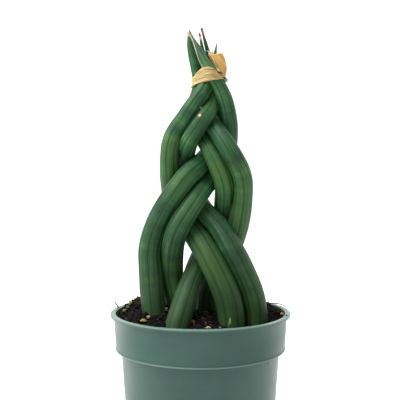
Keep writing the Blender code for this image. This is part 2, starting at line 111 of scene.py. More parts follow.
HUMP_COUNT = 90  # small humps scattered over the soil
HUMP_SEED = 7
HUMP_REACH = 68.0
HUMP_NEAREST = 0.02  # share of the soil's area in the middle that has none
HUMP_HEIGHTS = (0.8, 2.6)
HUMP_WIDTHS = (2.6, 4.5)
CRUMB_GROUND_RADIUS = 72.0
CRUMB_GROUND_MIDDLE = 0.5
CRUMB_GROUND_RINGS = 30
CRUMBS = (  # name, crumbs per square metre, smallest and largest half sizes, seed
    ("small_crumbs", 80000.0, (0.6, 0.5, 0.5), (1.8, 1.4, 1.3), 5),
    ("large_crumbs", 20000.0, (1.6, 1.4, 1.3), (4.2, 3.4, 3.2), 11),
    ("bark_bits", 9000.0, (1.4, 0.5, 0.45), (4.0, 1.3, 1.0), 23),
)
SHADE_SEED = 31  # for the tone of each crumb
BITS = (  # x, y, height over the soil, length, width, kind and colour of the bits that stand out
    (-48.6, -27.0, 2.0, 5.6, 4.0, "yellow_moss", "#bdb058"),
    (-44.6, -23.0, 2.2, 3.8, 3.0, "pumice", "#d8b8a0"),
    (-30.8, -8.0, 1.8, 4.6, 3.6, "pumice", "#e2cf9c"),
    (-32.0, -35.0, 1.8, 3.6, 2.8, "perlite", "#f0e6cc"),
    (6.6, -36.0, 2.0, 4.4, 3.2, "pumice", "#dccaa0"),
    (16.5, -34.0, 3.4, 3.0, 2.2, "grit", "#a8908c"),
    (74.0, -23.0, 0.4, 2.4, 1.8, "bark", "#8a5a30"),
    (69.0, -31.0, 3.2, 3.8, 2.6, "bark", "#b87f4c"),
    (65.0, 34.0, 1.0, 2.8, 2.0, "bark", "#a08a5c"),
    (-68.5, 4.0, 1.6, 4.4, 3.2, "green_moss", "#8b9450"),
    (-64.5, 14.0, 1.8, 4.8, 3.4, "green_moss", "#a9a65a"),
    (-66.5, 9.0, 1.4, 3.8, 2.8, "green_moss", "#76803e"),
)
BIT_SEED = 100
BIT_DETAIL = 3
BIT_FLATNESS = 0.8  # its height as a share of its width

# Leaves: girth is the radius at the foot. Each leaf thins evenly, then closes to a point.
EVEN_TAPER = 0.37
TIP_POWER = 5.9
TIP_ROUNDNESS = 0.61
FOOT_ROUNDING = 10.0
FOOT_CLOSING = 0.3
TIP_RADIUS = 0.35
LEAF_RINGS = 260
LEAF_SWELL = 0.25  # soft leaves meet, so each is drawn this much fuller than its CAD solid
SWELL_FROM = 2.0  # where its radius is over this
SKIN_RADIUS = 10.0  # radius of the straight tube that the skin's pattern is laid on
LEAF_FORM = {  # depth and width of a groove are shares of the radius and of a groove's spacing
    "Sides": 70, "Grooves": 7, "Groove Depth": 0.03, "Groove Width": 0.2,
    "Unevenness": 0.5 * MM, "Skin Radius": SKIN_RADIUS * MM,
}
SWELLS_PER_METRE = 60.0  # how closely the soft unevenness of a leaf follows on itself
PATTERN_STEP = (0.31, 0.17, 0.23)  # moves each leaf's pattern away from the last one's
USUAL_GOLD = 0.4  # how yellow a leaf's patches are
GOLD = {"leaf_right_inner": 0.6, "leaf_front": 0.55}
SLENDER_TIPS = {"leaf_left_outer": 0.6, "leaf_right_inner": 0.62, "leaf_right_outer": 0.62}
SLENDER_LENGTH = 38.0  # these tips keep that share of their girth, reached within this length
SLENDER_ONSET = 1.8
# Small corrections that bring the leaves' edges to where the photograph has them.
NUDGES = {  # leaf: height, sideways move and reach along z
    "leaf_front": ((223.0, 2.1, 16.0), (340.0, 0.9, 13.0), (374.0, -1.0, 14.0)),
    "leaf_left_inner": ((162.0, -1.6, 24.0), (245.0, -0.6, 14.0), (348.0, -1.5, 20.0),
                        (368.0, -0.9, 12.0)),
    "leaf_left_outer": ((180.0, 0.9, 16.0), (134.0, -1.0, 13.0)),
    "leaf_right_inner": ((190.0, 2.0, 30.0), (246.0, 1.2, 12.0), (278.0, -1.0, 18.0),
                         (308.0, 1.2, 12.0)),
    "leaf_right_outer": ((214.0, 1.3, 16.0), (284.0, -1.9, 15.0), (381.0, 0.8, 6.0)),
    "leaf_back": ((158.0, -6.0, 15.0), (240.0, -0.7, 24.0)),
}
FULLNESS = {  # leaf: height, change of radius and reach along z
    "leaf_left_inner": ((245.0, -0.6, 14.0),),
    "leaf_left_outer": ((136.0, -1.0, 13.0),),
    "leaf_right_inner": ((165.0, 0.8, 30.0), (200.0, 0.5, 16.0), (276.0, -1.1, 28.0)),
    "leaf_right_outer": ((284.0, 0.9, 15.0),),
    "leaf_back": ((240.0, -0.6, 24.0),),
}
BLUNT_TIPS = {  # leaf: distance from its tip and radius
    "leaf_left_outer": ((0.0, 0.7), (1.2, 1.25), (3.0, 1.2), (5.0, 0.95), (9.0, 1.2), (15.0, 1.7),
                        (21.0, 2.1), (30.0, 3.2)),
    "leaf_right_inner": ((0.0, 0.5), (1.4, 1.05), (3.4, 1.0), (5.0, 0.85), (8.0, 1.25), (15.0, 1.4),
                         (21.0, 1.9), (30.0, 3.1)),
}

# Routes of the leaves' centre lines, foot to tip, as x, y, z, with the girth first.
ROUTES = {
    "leaf_left_outer": (11.45, (
        (-37, -9, 107), (-38, -9, 128), (-42, -6, 151), (-45, -2, 179), (-45, -2, 195),
        (-36, -6, 222), (-21, -10, 246), (-12, -10, 260), (-5, -5, 267), (11, 9, 283),
        (18, 12, 293), (21, 11, 306), (19, 10, 319), (12, 9, 353), (6, 5, 376), (1, 4, 395))),
    "leaf_left_inner": (11.15, (
        (-9, 7, 103), (-15, 5, 139), (-21, 2, 161), (-24, -1, 186), (-23, -6, 204),
        (-17, -10, 221), (-6, -11, 239), (0, -7, 248), (10, 8, 265), (17, 10, 276),
        (21, 9, 287), (22, 0, 307), (18, -4, 333), (7, -8, 354), (-7, -4, 385))),
    "leaf_front": (10.7, (
        (-25, -28, 108), (-21, -26, 128), (-18, -22, 140), (-12, -9, 160), (-8, 0, 170),
        (-3, 8, 183), (3, 10, 195), (15, 5, 221), (20, -4, 248), (19, -9, 261), (14, -10, 275),
        (10, -8, 284), (6, -3, 294), (2, 5, 305), (-2, 8, 316), (-1, 6, 326), (2, 0, 343),
        (1, -1, 351), (-11, -1, 390))),
    "leaf_back": (10.85, (
        (-1, 12, 103), (6, 12, 135), (13, 12, 153), (26, 10, 191), (35, 2, 220), (37, -3, 243),
        (34, -8, 262), (23, -11, 280), (13, -5, 296), (4, 6, 312), (1, 9, 321), (-1, 7, 338),
        (1, 6, 356), (-4, 3, 374), (-10, 3, 393))),
    "leaf_right_outer": (11.05, (
        (47, -5, 105), (49, -5, 135), (46, -6, 157), (34, -10, 186), (30, -10, 194),
        (23, -5, 205), (15, 4, 218), (6, 10, 228), (-1, 12, 239), (-8, 11, 249), (-11, 10, 261),
        (-9, -2, 284), (-7, -6, 293), (2, -10, 311), (7, -8, 319), (11, -2, 328), (12, 2, 337),
        (12, 2, 345), (13, 1, 354), (13, 3, 373), (14, 4, 381))),
    "leaf_right_inner": (11.8, (
        (27, -15, 106), (27, -14, 137), (22, -13, 158), (8, -12, 185), (-3, -4, 204),
        (-12, 6, 216), (-19, 10, 227), (-25, 10, 239), (-26, 8, 251), (-24, 0, 274),
        (-19, -4, 297), (-8, -9, 313), (-2, -10, 321), (6, -2, 337), (7, 4, 355), (2, 2, 375),
        (-1, 2, 390))),
}
STATIONS = 110
ROUTE_SMOOTHING = 8
SETTLE_STEPS = 220
SETTLE_GAP = 0.8
SETTLE_SMOOTHING = 2
SETTLE_KEPT = 0.998  # share of its shift that a leaf keeps from one step to the next
SIDEWAYS_SHARE = 0.12
LEAST_DISTANCE = 1e-6
SINK = 1.6  # soft leaves flatten where they press: they are drawn sunk this far into each other
PRESS_SMOOTHING = 6

# Dried leaf tips: distance from the tip and colour, and where the green is whole again.
TIPS = {
    "leaf_left_outer": ((0.0, "#120f0d"), (1.6, "#1a1411"), (2.4, "#c8b79c"), (3.6, "#a0705a"),
                        (7.5, "#7c4632"), (9.5, "#5d6a41")),
    "leaf_left_inner": ((0.0, "#1c1714"), (1.2, "#6f6a4a"), (3.0, "#6d8a5a")),
    "leaf_front": ((0.0, "#8f8a66"), (2.0, "#b9b58c"), (5.0, "#64825a")),
    "leaf_back": ((0.0, "#17110e"), (3.0, "#2a1c15"), (4.0, "#d8ab8c"), (5.5, "#b79573"),
                  (7.5, "#57764a")),
    "leaf_right_outer": ((0.0, "#96705c"), (2.5, "#a98069"), (4.5, "#7f8a62"), (7.0, "#4d7048")),
    "leaf_right_inner": ((0.0, "#6f2f28"), (3.2, "#93443a"), (4.4, "#dcbfb0"), (6.0, "#b3b08a"),
                         (8.0, "#4f7448")),
}

# Scars on the skin: place, size, middle colour and edge colour.
SCAR_SCALE = (1.0, 0.35, 1.0)  # depth counts for less than height and width in a scar's distance
SCARS = {
    "leaf_right_outer": (
        ((-0.6, -20.3, 312.4), 1.9, "#f6dcae", "#86602e"),
        ((0.4, -15.6, 319.8), 1.4, "#f6f4ea", "#8fa08a"),
    ),
    "leaf_right_inner": (((0.4, -17.0, 319.6), 1.1, "#f6f4ea", "#8fa08a"),),
    "leaf_front": (((-9.9, -16.0, 174.6), 1.2, "#6a3528", "#4a3a28"),),
}

# Ribbon: a band round all six leaves, with a twist and knot on its right, a flap and a tail.
BAND_FRONT = (  # x, lower edge, upper edge along the side that faces the viewer
    (-9.5, 340.4, 348.8), (-7.0, 340.6, 349.8), (-3.9, 341.6, 350.6), (-1.2, 342.0, 352.0),
    (4.9, 342.2, 354.4), (11.0, 342.9, 354.4), (14.0, 343.4, 352.6), (16.7, 344.2, 350.2),
    (18.5, 344.8, 348.4), (20.0, 345.4, 346.6), (24.0, 345.6, 346.4),
)
BAND_BACK = ((-9.5, 340.4, 348.8), (24.0, 344.8, 349.8))
BAND_FRONT_DEPTH = -4.0  # the front runs from here towards the viewer
BAND_BLEND = 5.0  # depth over which the front's edges pass into the back's
BAND_HEIGHTS = (335.0, 359.0)
BAND_LOOPS = 9
BAND_LEVELS = 15
BAND_SIDES = 180
BAND_THICKNESS = 0.5
BAND_CLEARANCE = 0.6
BAND_FOLD = 0.22
BUNDLE_POINTS = 400
FIBRE_STRETCH = (0.07, 0.07, 1.0)  # the paper's fibres run round the bundle
FIBRE_START = (0.0, 0.0, 300.0)
BAND_TONES = (
    (0.30, "#94713f"), (0.74, "#ffedc4"), (0.42, "#c69a62"), (0.52, "#dfb87a"), (0.62, "#edce92"))
FLAP_TONES = ((0.30, "#c08a48"), (0.74, "#ffdcac"), (0.45, "#dca25c"), (0.58, "#ecb574"))
TAIL_TONES = ((0.30, "#c2a878"), (0.72, "#fff6dc"), (0.5, "#f0deb4"))
STRIP_ROWS = 26
STRIP_COLUMNS = 11
STRIP_THICKNESS = 0.35
FLAP_BOW = 1.6
TAIL_BOW = 0.8
FLAP_LEFT = ((19.3, -9.6, 347.6), (17.3, -10.4, 350.2), (15.5, -10.6, 353.3), (13.3, -10.8, 357.3),
             (11.1, -10.8, 361.2), (9.0, -10.2, 364.2), (7.4, -9.2, 366.8))
FLAP_RIGHT = ((21.7, -9.2, 347.4), (22.7, -8.6, 351.0), (23.3, -8.4, 354.2), (23.2, -8.4, 357.5),
              (22.6, -8.6, 360.6), (21.2, -8.8, 365.2), (19.4, -8.8, 369.2))
TAIL_LEFT = ((18.4, -8.4, 349.0), (13.6, -8.2, 356.4), (9.6, -8.2, 362.6), (5.8, -7.6, 369.0))
TAIL_RIGHT = ((20.6, -8.0, 350.4), (16.8, -7.6, 358.8), (14.0, -7.4, 364.6), (11.0, -7.2, 371.4))
KNOB = (22.2, -13.5, 344.2)
KNOB_RADII = (1.9, 1.9, 1.8)
KNOB_DETAIL = 4
TWIST_ENDS = ((15.4, -20.6, 351.2), (21.8, -14.4, 345.2))
TWIST_RADIUS = 0.9
TWIST_STRANDS = 3
TWIST_TURNS = 1.6
TWIST_RINGS = 60
STRAND_RADIUS = 0.62
RIBBON_EDGE = (  # x, y, z: the cream rim along the flap's left edge
    (6.1, -11.0, 370.6), (9.5, -12.0, 367.9), (11.5, -13.0, 362.5), (14.2, -14.0, 355.1),
    (16.5, -17.0, 351.1))
RIBBON_EDGE_RADIUS = 0.42
DARK_TAIL_END = ((6.3, -9.4, 368.4), (2.0, 1.2, 1.7))  # place and size
LEAF_EDGE = (  # x, y, z and radius: the pale dry margin along the left of leaf_left_inner
    (-11.2, -3.0, 387.2, 0.4), (-7.7, -6.0, 382.9, 0.5), (-3.9, -12.0, 370.6, 0.38),
    (-1.2, -16.0, 361.5, 0.25), (2.1, -18.0, 354.5, 0.15))

# Shoot: a young leaf's green spike.
SHOOT_FOOT = (23.9, -40.0, 119.0)
SHOOT_TIP = (24.8, -39.0, 141.5)
SHOOT_RADIUS = 1.9
SHOOT_TIP_RADIUS = 0.25
SHOOT_BEND = (0.4, 0.0, 0.0)  # how far its middle leans to the left
SHOOT_RINGS = 40
SHOOT_FORM = {
    "Sides": 28, "Grooves": 4, "Groove Depth": 0.06, "Groove Width": 0.25,
    "Unevenness": 0.1 * MM, "Skin Radius": SHOOT_RADIUS * MM,
}
SHOOT_TONES = ((0.0, "#b9c67c"), (2.0, "#94ad52"), (5.0, "#6c9638"))
SHOOT_PATTERN = (2.1, 0.4, 0.9)
SHOOT_GOLD = 1.0

# Thin fibres that lie on or stand out of the soil.
THIN_SIDES = 8
FIBRE_RINGS = 30
FIBRES = {  # name: radius, kind, colour and points
    "brown_fibre": (0.75, "brown_coir", "#4a2f18", (
        (-70.0, 14.0, 137.5), (-75.2, 15.0, 139.8), (-77.1, 15.0, 142.4), (-79.2, 15.0, 146.2))),
    "pale_thread": (0.55, "dry_rootlet", "#9a8a6a", (
        (60.0, 36.0, 138.0), (67.0, 30.0, 141.4), (74.5, 15.0, 143.0), (78.7, 3.0, 141.6))),
}

# Indices of the colour sockets of a Mix node.
MIX_A = 6
MIX_B = 7
MIX_OUT = 2


# The leaves' centre lines and radii.


def length_along(line):
    """The distance from the line's start to each of its points."""
    steps = np.linalg.norm(np.diff(line[:, :3], axis=0), axis=1)
    return np.concatenate([[0.0], np.cumsum(steps)])


def resample(line, count, closed=False):
    """The same line with this many points at even steps, without its last one where it is closed."""
    length = length_along(line)
    even = np.linspace(0.0, length[-1], count, endpoint=not closed)
    return np.stack([np.interp(even, length, column) for column in line.T], axis=1)


def smooth_line(points, count):
    """A smooth curve through the points, read at even steps along its length."""
    ends = np.vstack([2 * points[0] - points[1], points, 2 * points[-1] - points[-2]])
    step = np.linspace(0.0, 1.0, CURVE_STEPS, endpoint=False)[:, None]
    runs = []
    for a, b, c, d in zip(ends[:-3], ends[1:-2], ends[2:-1], ends[3:]):
        cubic = (3 * b - a - 3 * c + d) * step**3
        square = (2 * a - 5 * b + 4 * c - d) * step**2
        runs.append(0.5 * (2 * b + (c - a) * step + square + cubic))
    return resample(np.vstack(runs + [points[-1:]]), count)


def leaf_radii(line, girth, slender):
    """The radius at each point: a closed foot, an even taper and a pointed, often slender tip."""
    length = length_along(line)
    along = length / length[-1]
    radii = girth * (1 - EVEN_TAPER * along) * (1 - along**TIP_POWER) ** TIP_ROUNDNESS
    near_tip = np.clip(SLENDER_ONSET * (1 - (length[-1] - length) / SLENDER_LENGTH), 0.0, 1.0)
    radii = radii * (1 - (1 - slender) * near_tip)
    buried = np.clip(1 - length / FOOT_ROUNDING, 0.0, 1.0)
    return np.maximum(radii * (1 - FOOT_CLOSING * buried**2), TIP_RADIUS)


def smooth_rows(values, times):
    """Even out neighbouring rows, with the two ends held."""
    for _ in range(times):
        inner = 0.25 * values[:-2] + 0.5 * values[1:-1] + 0.25 * values[2:]
        values = np.vstack([values[:1], inner, values[-1:]])
    return values


def settle(lines, radii):
    """Push crossing leaves apart until they only touch, mostly in depth."""
    rest = lines.copy()
    weights = np.array([SIDEWAYS_SHARE, 1.0, SIDEWAYS_SHARE])
    rows = np.arange(lines.shape[1])
    for _ in range(SETTLE_STEPS):
        push = np.zeros_like(lines)
        for i in range(len(lines)):
            for j in range(i + 1, len(lines)):
                apart = lines[i, :, None] - lines[j, None]
                distance = np.maximum(np.linalg.norm(apart, axis=2), LEAST_DISTANCE)
                short = radii[i, :, None] + radii[j, None] + SETTLE_GAP - distance
                short = np.maximum(short, 0.0)
                if not short.any():
                    continue
                shove = 0.5 * short[..., None] * apart / distance[..., None]
                push[i] += shove[rows, short.argmax(axis=1)]
                push[j] -= shove[short.argmax(axis=0), rows]
        lines = lines + push * weights
        moved = [smooth_rows(line, SETTLE_SMOOTHING) for line in lines - rest]
        lines = rest + SETTLE_KEPT * np.array(moved)
    return lines


def press(lines, radii):
    """Narrow the leaves a little where they still press on each other, as soft leaves do."""
    limit = radii.copy()
    for i in range(len(lines)):
        for j in range(len(lines)):
            if i == j:
                continue
            distance = np.linalg.norm(lines[i, :, None] - lines[j, None], axis=2)
            share = radii[i, :, None] / (radii[i, :, None] + radii[j, None])
            room = ((distance + SINK) * share).min(axis=1)
            limit[i] = np.minimum(limit[i], room)
    for _ in range(PRESS_SMOOTHING):
        spread = np.pad(limit, ((0, 0), (1, 1)), mode="edge")
        mean = (spread[:, :-2] + spread[:, 1:-1] + spread[:, 2:]) / 3
        limit = np.minimum(limit, mean)
    return np.maximum(limit, TIP_RADIUS)


def blunt_tip(rows, tip):
    """Give the end of a leaf the radii of its dried, blunt tip."""
    left = length_along(rows[::-1])[::-1]
    near = left < tip[-1, 0]
    rows[near, 3] = np.interp(left[near], tip[:, 0], tip[:, 1])


def leaf_lines():
    """Settled centre lines of all six leaves by name, as rows of x, y, z and radius."""
    lines = [smooth_line(np.array(route, float), STATIONS) for _, route in ROUTES.values()]
    lines = [smooth_rows(line, ROUTE_SMOOTHING) for line in lines]
    radii = [
        leaf_radii(line, girth, SLENDER_TIPS.get(name, 1.0))
        for line, (name, (girth, _)) in zip(lines, ROUTES.items())
    ]
    lines = settle(np.array(lines), np.array(radii))
    radii = press(lines, np.array(radii))
    leaves = {name: np.column_stack(pair) for name, pair in zip(ROUTES, zip(lines, radii))}
    for table, column in ((NUDGES, 0), (FULLNESS, 3)):
        for name, changes in table.items():
            rows = leaves[name]
            for height, change, reach in changes:
                rows[:, column] += change * np.exp(-((rows[:, 2] - height) / reach) ** 2)
    return leaves


# Colours and nodes.


def linear(colour):
    """An sRGB hex colour as linear red, green, blue and a full alpha."""
    shares = [int(colour[start:start + 2], 16) / 255 for start in (1, 3, 5)]
    bent = [s / 12.92 if s <= 0.04045 else ((s + 0.055) / 1.055) ** 2.4 for s in shares]
    return (*bent, 1.0)


def per(size):
    """The scale at which a noise pattern has this size in millimetres."""
    return 1 / (size * MM)


def fill(tree, sockets, values):
    """Link each named socket to another one, or set it to a plain value or a hex colour."""
    for key, value in values.items():
        if isinstance(value, bpy.types.NodeSocket):
            tree.links.new(value, sockets[key])
        elif isinstance(value, str) and value.startswith("#"):
            sockets[key].default_value = linear(value)
        else:
            sockets[key].default_value = value


def node(tree, kind, inputs=None, stops=(), out=0, **settings):
    """Add a node with its settings, its inputs and a ramp's stops, and return one of its outputs."""
    made = tree.nodes.new(kind)
    for name, value in settings.items():
        setattr(made, name, value)
    fill(tree, made.inputs, inputs or {})
    for index, (place, colour) in enumerate(stops):
        elements = made.color_ramp.elements
        stop = elements[index] if index < 2 else elements.new(place)
        stop.position = place
        stop.color = linear(colour)
    return made.outputs[out] if made.outputs else None


def blank_material(name):
    """A material with only its Principled shader, its tree and that shader's sockets."""
    finish = bpy.data.materials.new(name)
    finish.use_nodes = True
    tree = finish.node_tree
    return finish, tree, tree.nodes["Principled BSDF"].inputs


def tinted(tree, colour, tint, source, places, shares):
    """Mix a tint into a colour, by shares that run with the source from one place to another."""
    share = node(tree, "ShaderNodeMapRange", {
        "Value": source, "From Min": places[0], "From Max": places[1],
        "To Min": shares[0], "To Max": shares[1],
    })
    return node(
        tree, "ShaderNodeMix", {0: share, MIX_A: colour, MIX_B: tint}, out=MIX_OUT, data_type="RGBA"
    )


def shaded(tree, colour, source, stops, strength):
    """Darken a colour by the tones that a source picks from a ramp."""
    tone = node(tree, "ShaderNodeValToRGB", {"Fac": source}, stops)
    return node(
        tree, "ShaderNodeMix", {0: strength, MIX_A: colour, MIX_B: tone}, out=MIX_OUT,
        data_type="RGBA", blend_type="MULTIPLY",
    )


# The Geometry Nodes trees: a grooved leaf and scattered crumbs.


def geometry_tree(name, sockets):
    """A Geometry Nodes tree with these named inputs, and its input node's outputs."""
    tree = bpy.data.node_groups.new(name, "GeometryNodeTree")
    for way in ("INPUT", "OUTPUT"):
        tree.interface.new_socket("Geometry", in_out=way, socket_type="NodeSocketGeometry")
    for label, kind in sockets:
        tree.interface.new_socket(label, in_out="INPUT", socket_type="NodeSocket" + kind)
    return tree, tree.nodes.new("NodeGroupInput").outputs


def end_tree(tree, given, shape):
    """Close a tree: realize what it made, give it its material and send it out."""
    whole = node(tree, "GeometryNodeRealizeInstances", {"Geometry": shape})
    dressed = node(tree, "GeometryNodeSetMaterial", {"Geometry": whole, "Material": given["Material"]})
    node(tree, "NodeGroupOutput", {"Geometry": dressed})


def leaf_tree():
    """The tree that sweeps a grooved outline along a leaf's centre line."""
    tree, given = geometry_tree("grooved_leaf", (
        ("Sides", "Int"), ("Grooves", "Int"), ("Groove Depth", "Float"), ("Groove Width", "Float"),
        ("Unevenness", "Float"), ("Skin Radius", "Float"), ("Material", "Material"),
    ))
    outline = node(tree, "GeometryNodeCurvePrimitiveCircle", {"Resolution": given["Sides"], "Radius": 1.0})
    index = node(tree, "GeometryNodeInputIndex")
    share = node(tree, "ShaderNodeMath", {0: index, 1: given["Sides"]}, operation="DIVIDE")
    turns = node(tree, "ShaderNodeMath", {0: share, 1: given["Grooves"]}, operation="MULTIPLY")
    off = node(tree, "ShaderNodeMath", {0: turns, 1: 0.5}, operation="PINGPONG")
    groove = node(
        tree, "ShaderNodeMapRange",
        {"Value": off, "From Min": 0.0, "From Max": given["Groove Width"], "To Min": 1.0, "To Max": 0.0},
        interpolation_type="SMOOTHSTEP",
    )
    cut = node(tree, "ShaderNodeMath", {0: groove, 1: given["Groove Depth"]}, operation="MULTIPLY")
    reach = node(tree, "ShaderNodeMath", {0: 1.0, 1: cut}, operation="SUBTRACT")
    place = node(tree, "GeometryNodeInputPosition")
    drawn_in, on_skin = (
        node(tree, "ShaderNodeVectorMath", {0: place, "Scale": scale}, operation="SCALE")
        for scale in (reach, given["Skin Radius"])
    )
    for name, value, kind in (("round_skin", on_skin, "FLOAT_VECTOR"), ("groove", groove, "FLOAT")):
        outline = node(
            tree, "GeometryNodeStoreNamedAttribute", {"Geometry": outline, "Name": name, "Value": value},
            data_type=kind, domain="POINT",
        )
    grooved = node(tree, "GeometryNodeSetPosition", {"Geometry": outline, "Position": drawn_in})

    spot = node(tree, "GeometryNodeSplineParameter", out="Length")
    whole = node(tree, "GeometryNodeSplineLength", out="Length")
    left = node(tree, "ShaderNodeMath", {0: whole, 1: spot}, operation="SUBTRACT")
    route = given["Geometry"]
    for name, value in (("up_leaf", spot), ("to_tip", left)):
        route = node(
            tree, "GeometryNodeStoreNamedAttribute", {"Geometry": route, "Name": name, "Value": value},
            data_type="FLOAT", domain="POINT",
        )
    radius = node(tree, "GeometryNodeInputRadius")
    body = node(
        tree, "GeometryNodeCurveToMesh",
        {"Curve": route, "Profile Curve": grooved, "Scale": radius, "Fill Caps": True},
    )
    swell = node(
        tree, "ShaderNodeTexNoise", {"Vector": place, "Scale": SWELLS_PER_METRE, "Detail": 1.0}
    )
    even = node(tree, "ShaderNodeMath", {0: swell, 1: 0.5}, operation="SUBTRACT")
    height = node(tree, "ShaderNodeMath", {0: even, 1: given["Unevenness"]}, operation="MULTIPLY")
    normal = node(tree, "GeometryNodeInputNormal")
    raised = node(tree, "ShaderNodeVectorMath", {0: normal, "Scale": height}, operation="SCALE")
    body = node(tree, "GeometryNodeSetPosition", {"Geometry": body, "Offset": raised})
    smooth = node(tree, "GeometryNodeSetShadeSmooth", {"Geometry": body, "Shade Smooth": True})
    end_tree(tree, given, smooth)
    return tree


def crumb_tree():
    """The tree that scatters crumbs of soil over a piece of ground."""
    tree, given = geometry_tree("scattered_crumbs", (
        ("Density", "Float"), ("Smallest", "Vector"), ("Largest", "Vector"), ("Roundness", "Int"),
        ("Seed", "Int"), ("Material", "Material"),
    ))
    spots = node(
        tree, "GeometryNodeDistributePointsOnFaces",
        {"Mesh": given["Geometry"], "Density": given["Density"], "Seed": given["Seed"]}, out="Points",
    )
    crumb = node(
        tree, "GeometryNodeMeshIcoSphere", {"Radius": 1.0, "Subdivisions": given["Roundness"]}, out="Mesh"
    )
    size, turn = (
        node(
            tree, "FunctionNodeRandomValue", {0: least, 1: most, "Seed": given["Seed"]},
            data_type="FLOAT_VECTOR",
        )
        for least, most in ((given["Smallest"], given["Largest"]), ((0.0,) * 3, (FULL_TURN,) * 3))
    )
    laid = node(
        tree, "GeometryNodeInstanceOnPoints",
        {"Points": spots, "Instance": crumb, "Rotation": turn, "Scale": size},
    )
    shade = node(
        tree, "FunctionNodeRandomValue", {2: 0.0, 3: 1.0, "Seed": SHADE_SEED}, out=1, data_type="FLOAT"
    )
    toned = node(
        tree, "GeometryNodeStoreNamedAttribute", {"Geometry": laid, "Name": "shade", "Value": shade},
        data_type="FLOAT", domain="INSTANCE",
    )
    end_tree(tree, given, toned)
    return tree


# Meshes and curves.


def add_object(name, data):
    """An object for mesh or curve data, linked to the scene."""
    obj = bpy.data.objects.new(name, data)
    bpy.context.scene.collection.objects.link(obj)
    return obj


def as_mesh(obj):
    """Replace an object by the plain mesh that its modifiers or its curve make."""
    graph = bpy.context.evaluated_depsgraph_get()
    mesh = bpy.data.meshes.new_from_object(obj.evaluated_get(graph))
    name = obj.name
    bpy.data.objects.remove(obj)
    mesh.name = name
    return add_object(name, mesh)


def face_outward(obj):
    """Merge doubles and turn the faces of a closed mesh outward."""
    body = bmesh.new()
    body.from_mesh(obj.data)
    bmesh.ops.remove_doubles(body, verts=body.verts, dist=DOUBLES)
    bmesh.ops.recalc_face_normals(body, faces=body.faces)
    body.to_mesh(obj.data)
    body.free()


def shaped_by(tree, obj, values):
    """Run a Geometry Nodes tree on an object with these input values and keep the plain mesh."""
    modifier = obj.modifiers.new(tree.name, "NODES")
    modifier.node_group = tree
    for item in tree.interface.items_tree:
        if item.in_out == "INPUT" and item.name in values:
            modifier[item.identifier] = values[item.name]
    return as_mesh(obj)


def line_object(name, rows):
    """A curve object along rows of x, y, z and radius in millimetres."""
    curve = bpy.data.curves.new(name, "CURVE")
    curve.dimensions = "3D"
    spline = curve.splines.new("POLY")
    spline.points.add(len(rows) - 1)
    for point, row in zip(spline.points, rows):
        point.co = (*(row[:3] * MM), 1.0)
        point.radius = row[3] * MM
    return add_object(name, curve)


def grid_object(name, rows, finish, close_round=False, close_rows=False, pattern=None):
    """A sheet of quads through rows of points in millimetres, with its pattern's coordinates."""
    rows = np.asarray(rows, float)
    count, width = rows.shape[:2]
    faces = []
    for low in range(count if close_rows else count - 1):
        near, far = low * width, (low + 1) % count * width
        for left in range(width if close_round else width - 1):
            right = (left + 1) % width
            faces.append((near + left, near + right, far + right, far + left))
    mesh = bpy.data.meshes.new(name)
    mesh.from_pydata((rows.reshape(-1, 3) * MM).tolist(), [], faces)
    if pattern is not None:
        layer = mesh.attributes.new("pattern", "FLOAT_VECTOR", "POINT")
        layer.data.foreach_set("vector", np.asarray(pattern, float).reshape(-1))
    mesh.shade_smooth()
    mesh.materials.append(finish)
    return add_object(name, mesh)


def place_piece(obj, slot, *nodes):
    """Say what the piece rides on and which CAD nodes it stands for. Its slot is not used."""
    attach(obj, "root")
    if nodes:
        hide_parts(*nodes)


def build_lump(name, detail, radius, moved, finish, slot):
    """A closed ball whose points a function moves to their places in millimetres."""
    body = bmesh.new()
    bmesh.ops.create_icosphere(body, subdivisions=detail, radius=radius)
    for vertex in body.verts:
        vertex.co = [value * MM for value in moved(*vertex.co)]
    mesh = bpy.data.meshes.new(name)
    body.to_mesh(mesh)
    body.free()
    mesh.shade_smooth()
    mesh.materials.append(finish)
    place_piece(add_object(name, mesh), slot)


def build_strand(name, rows, sides, finish, slot):
    """A closed round strand along rows of x, y, z and radius."""
    curve = line_object(name, rows)
    curve.data.bevel_mode = "ROUND"
    curve.data.bevel_depth = 1.0
    curve.data.bevel_resolution = sides // 4
    curve.data.use_fill_caps = True
    strand = as_mesh(curve)
    face_outward(strand)
    strand.data.shade_smooth()
    strand.data.materials.append(finish)
    place_piece(strand, slot)


# Finishes.


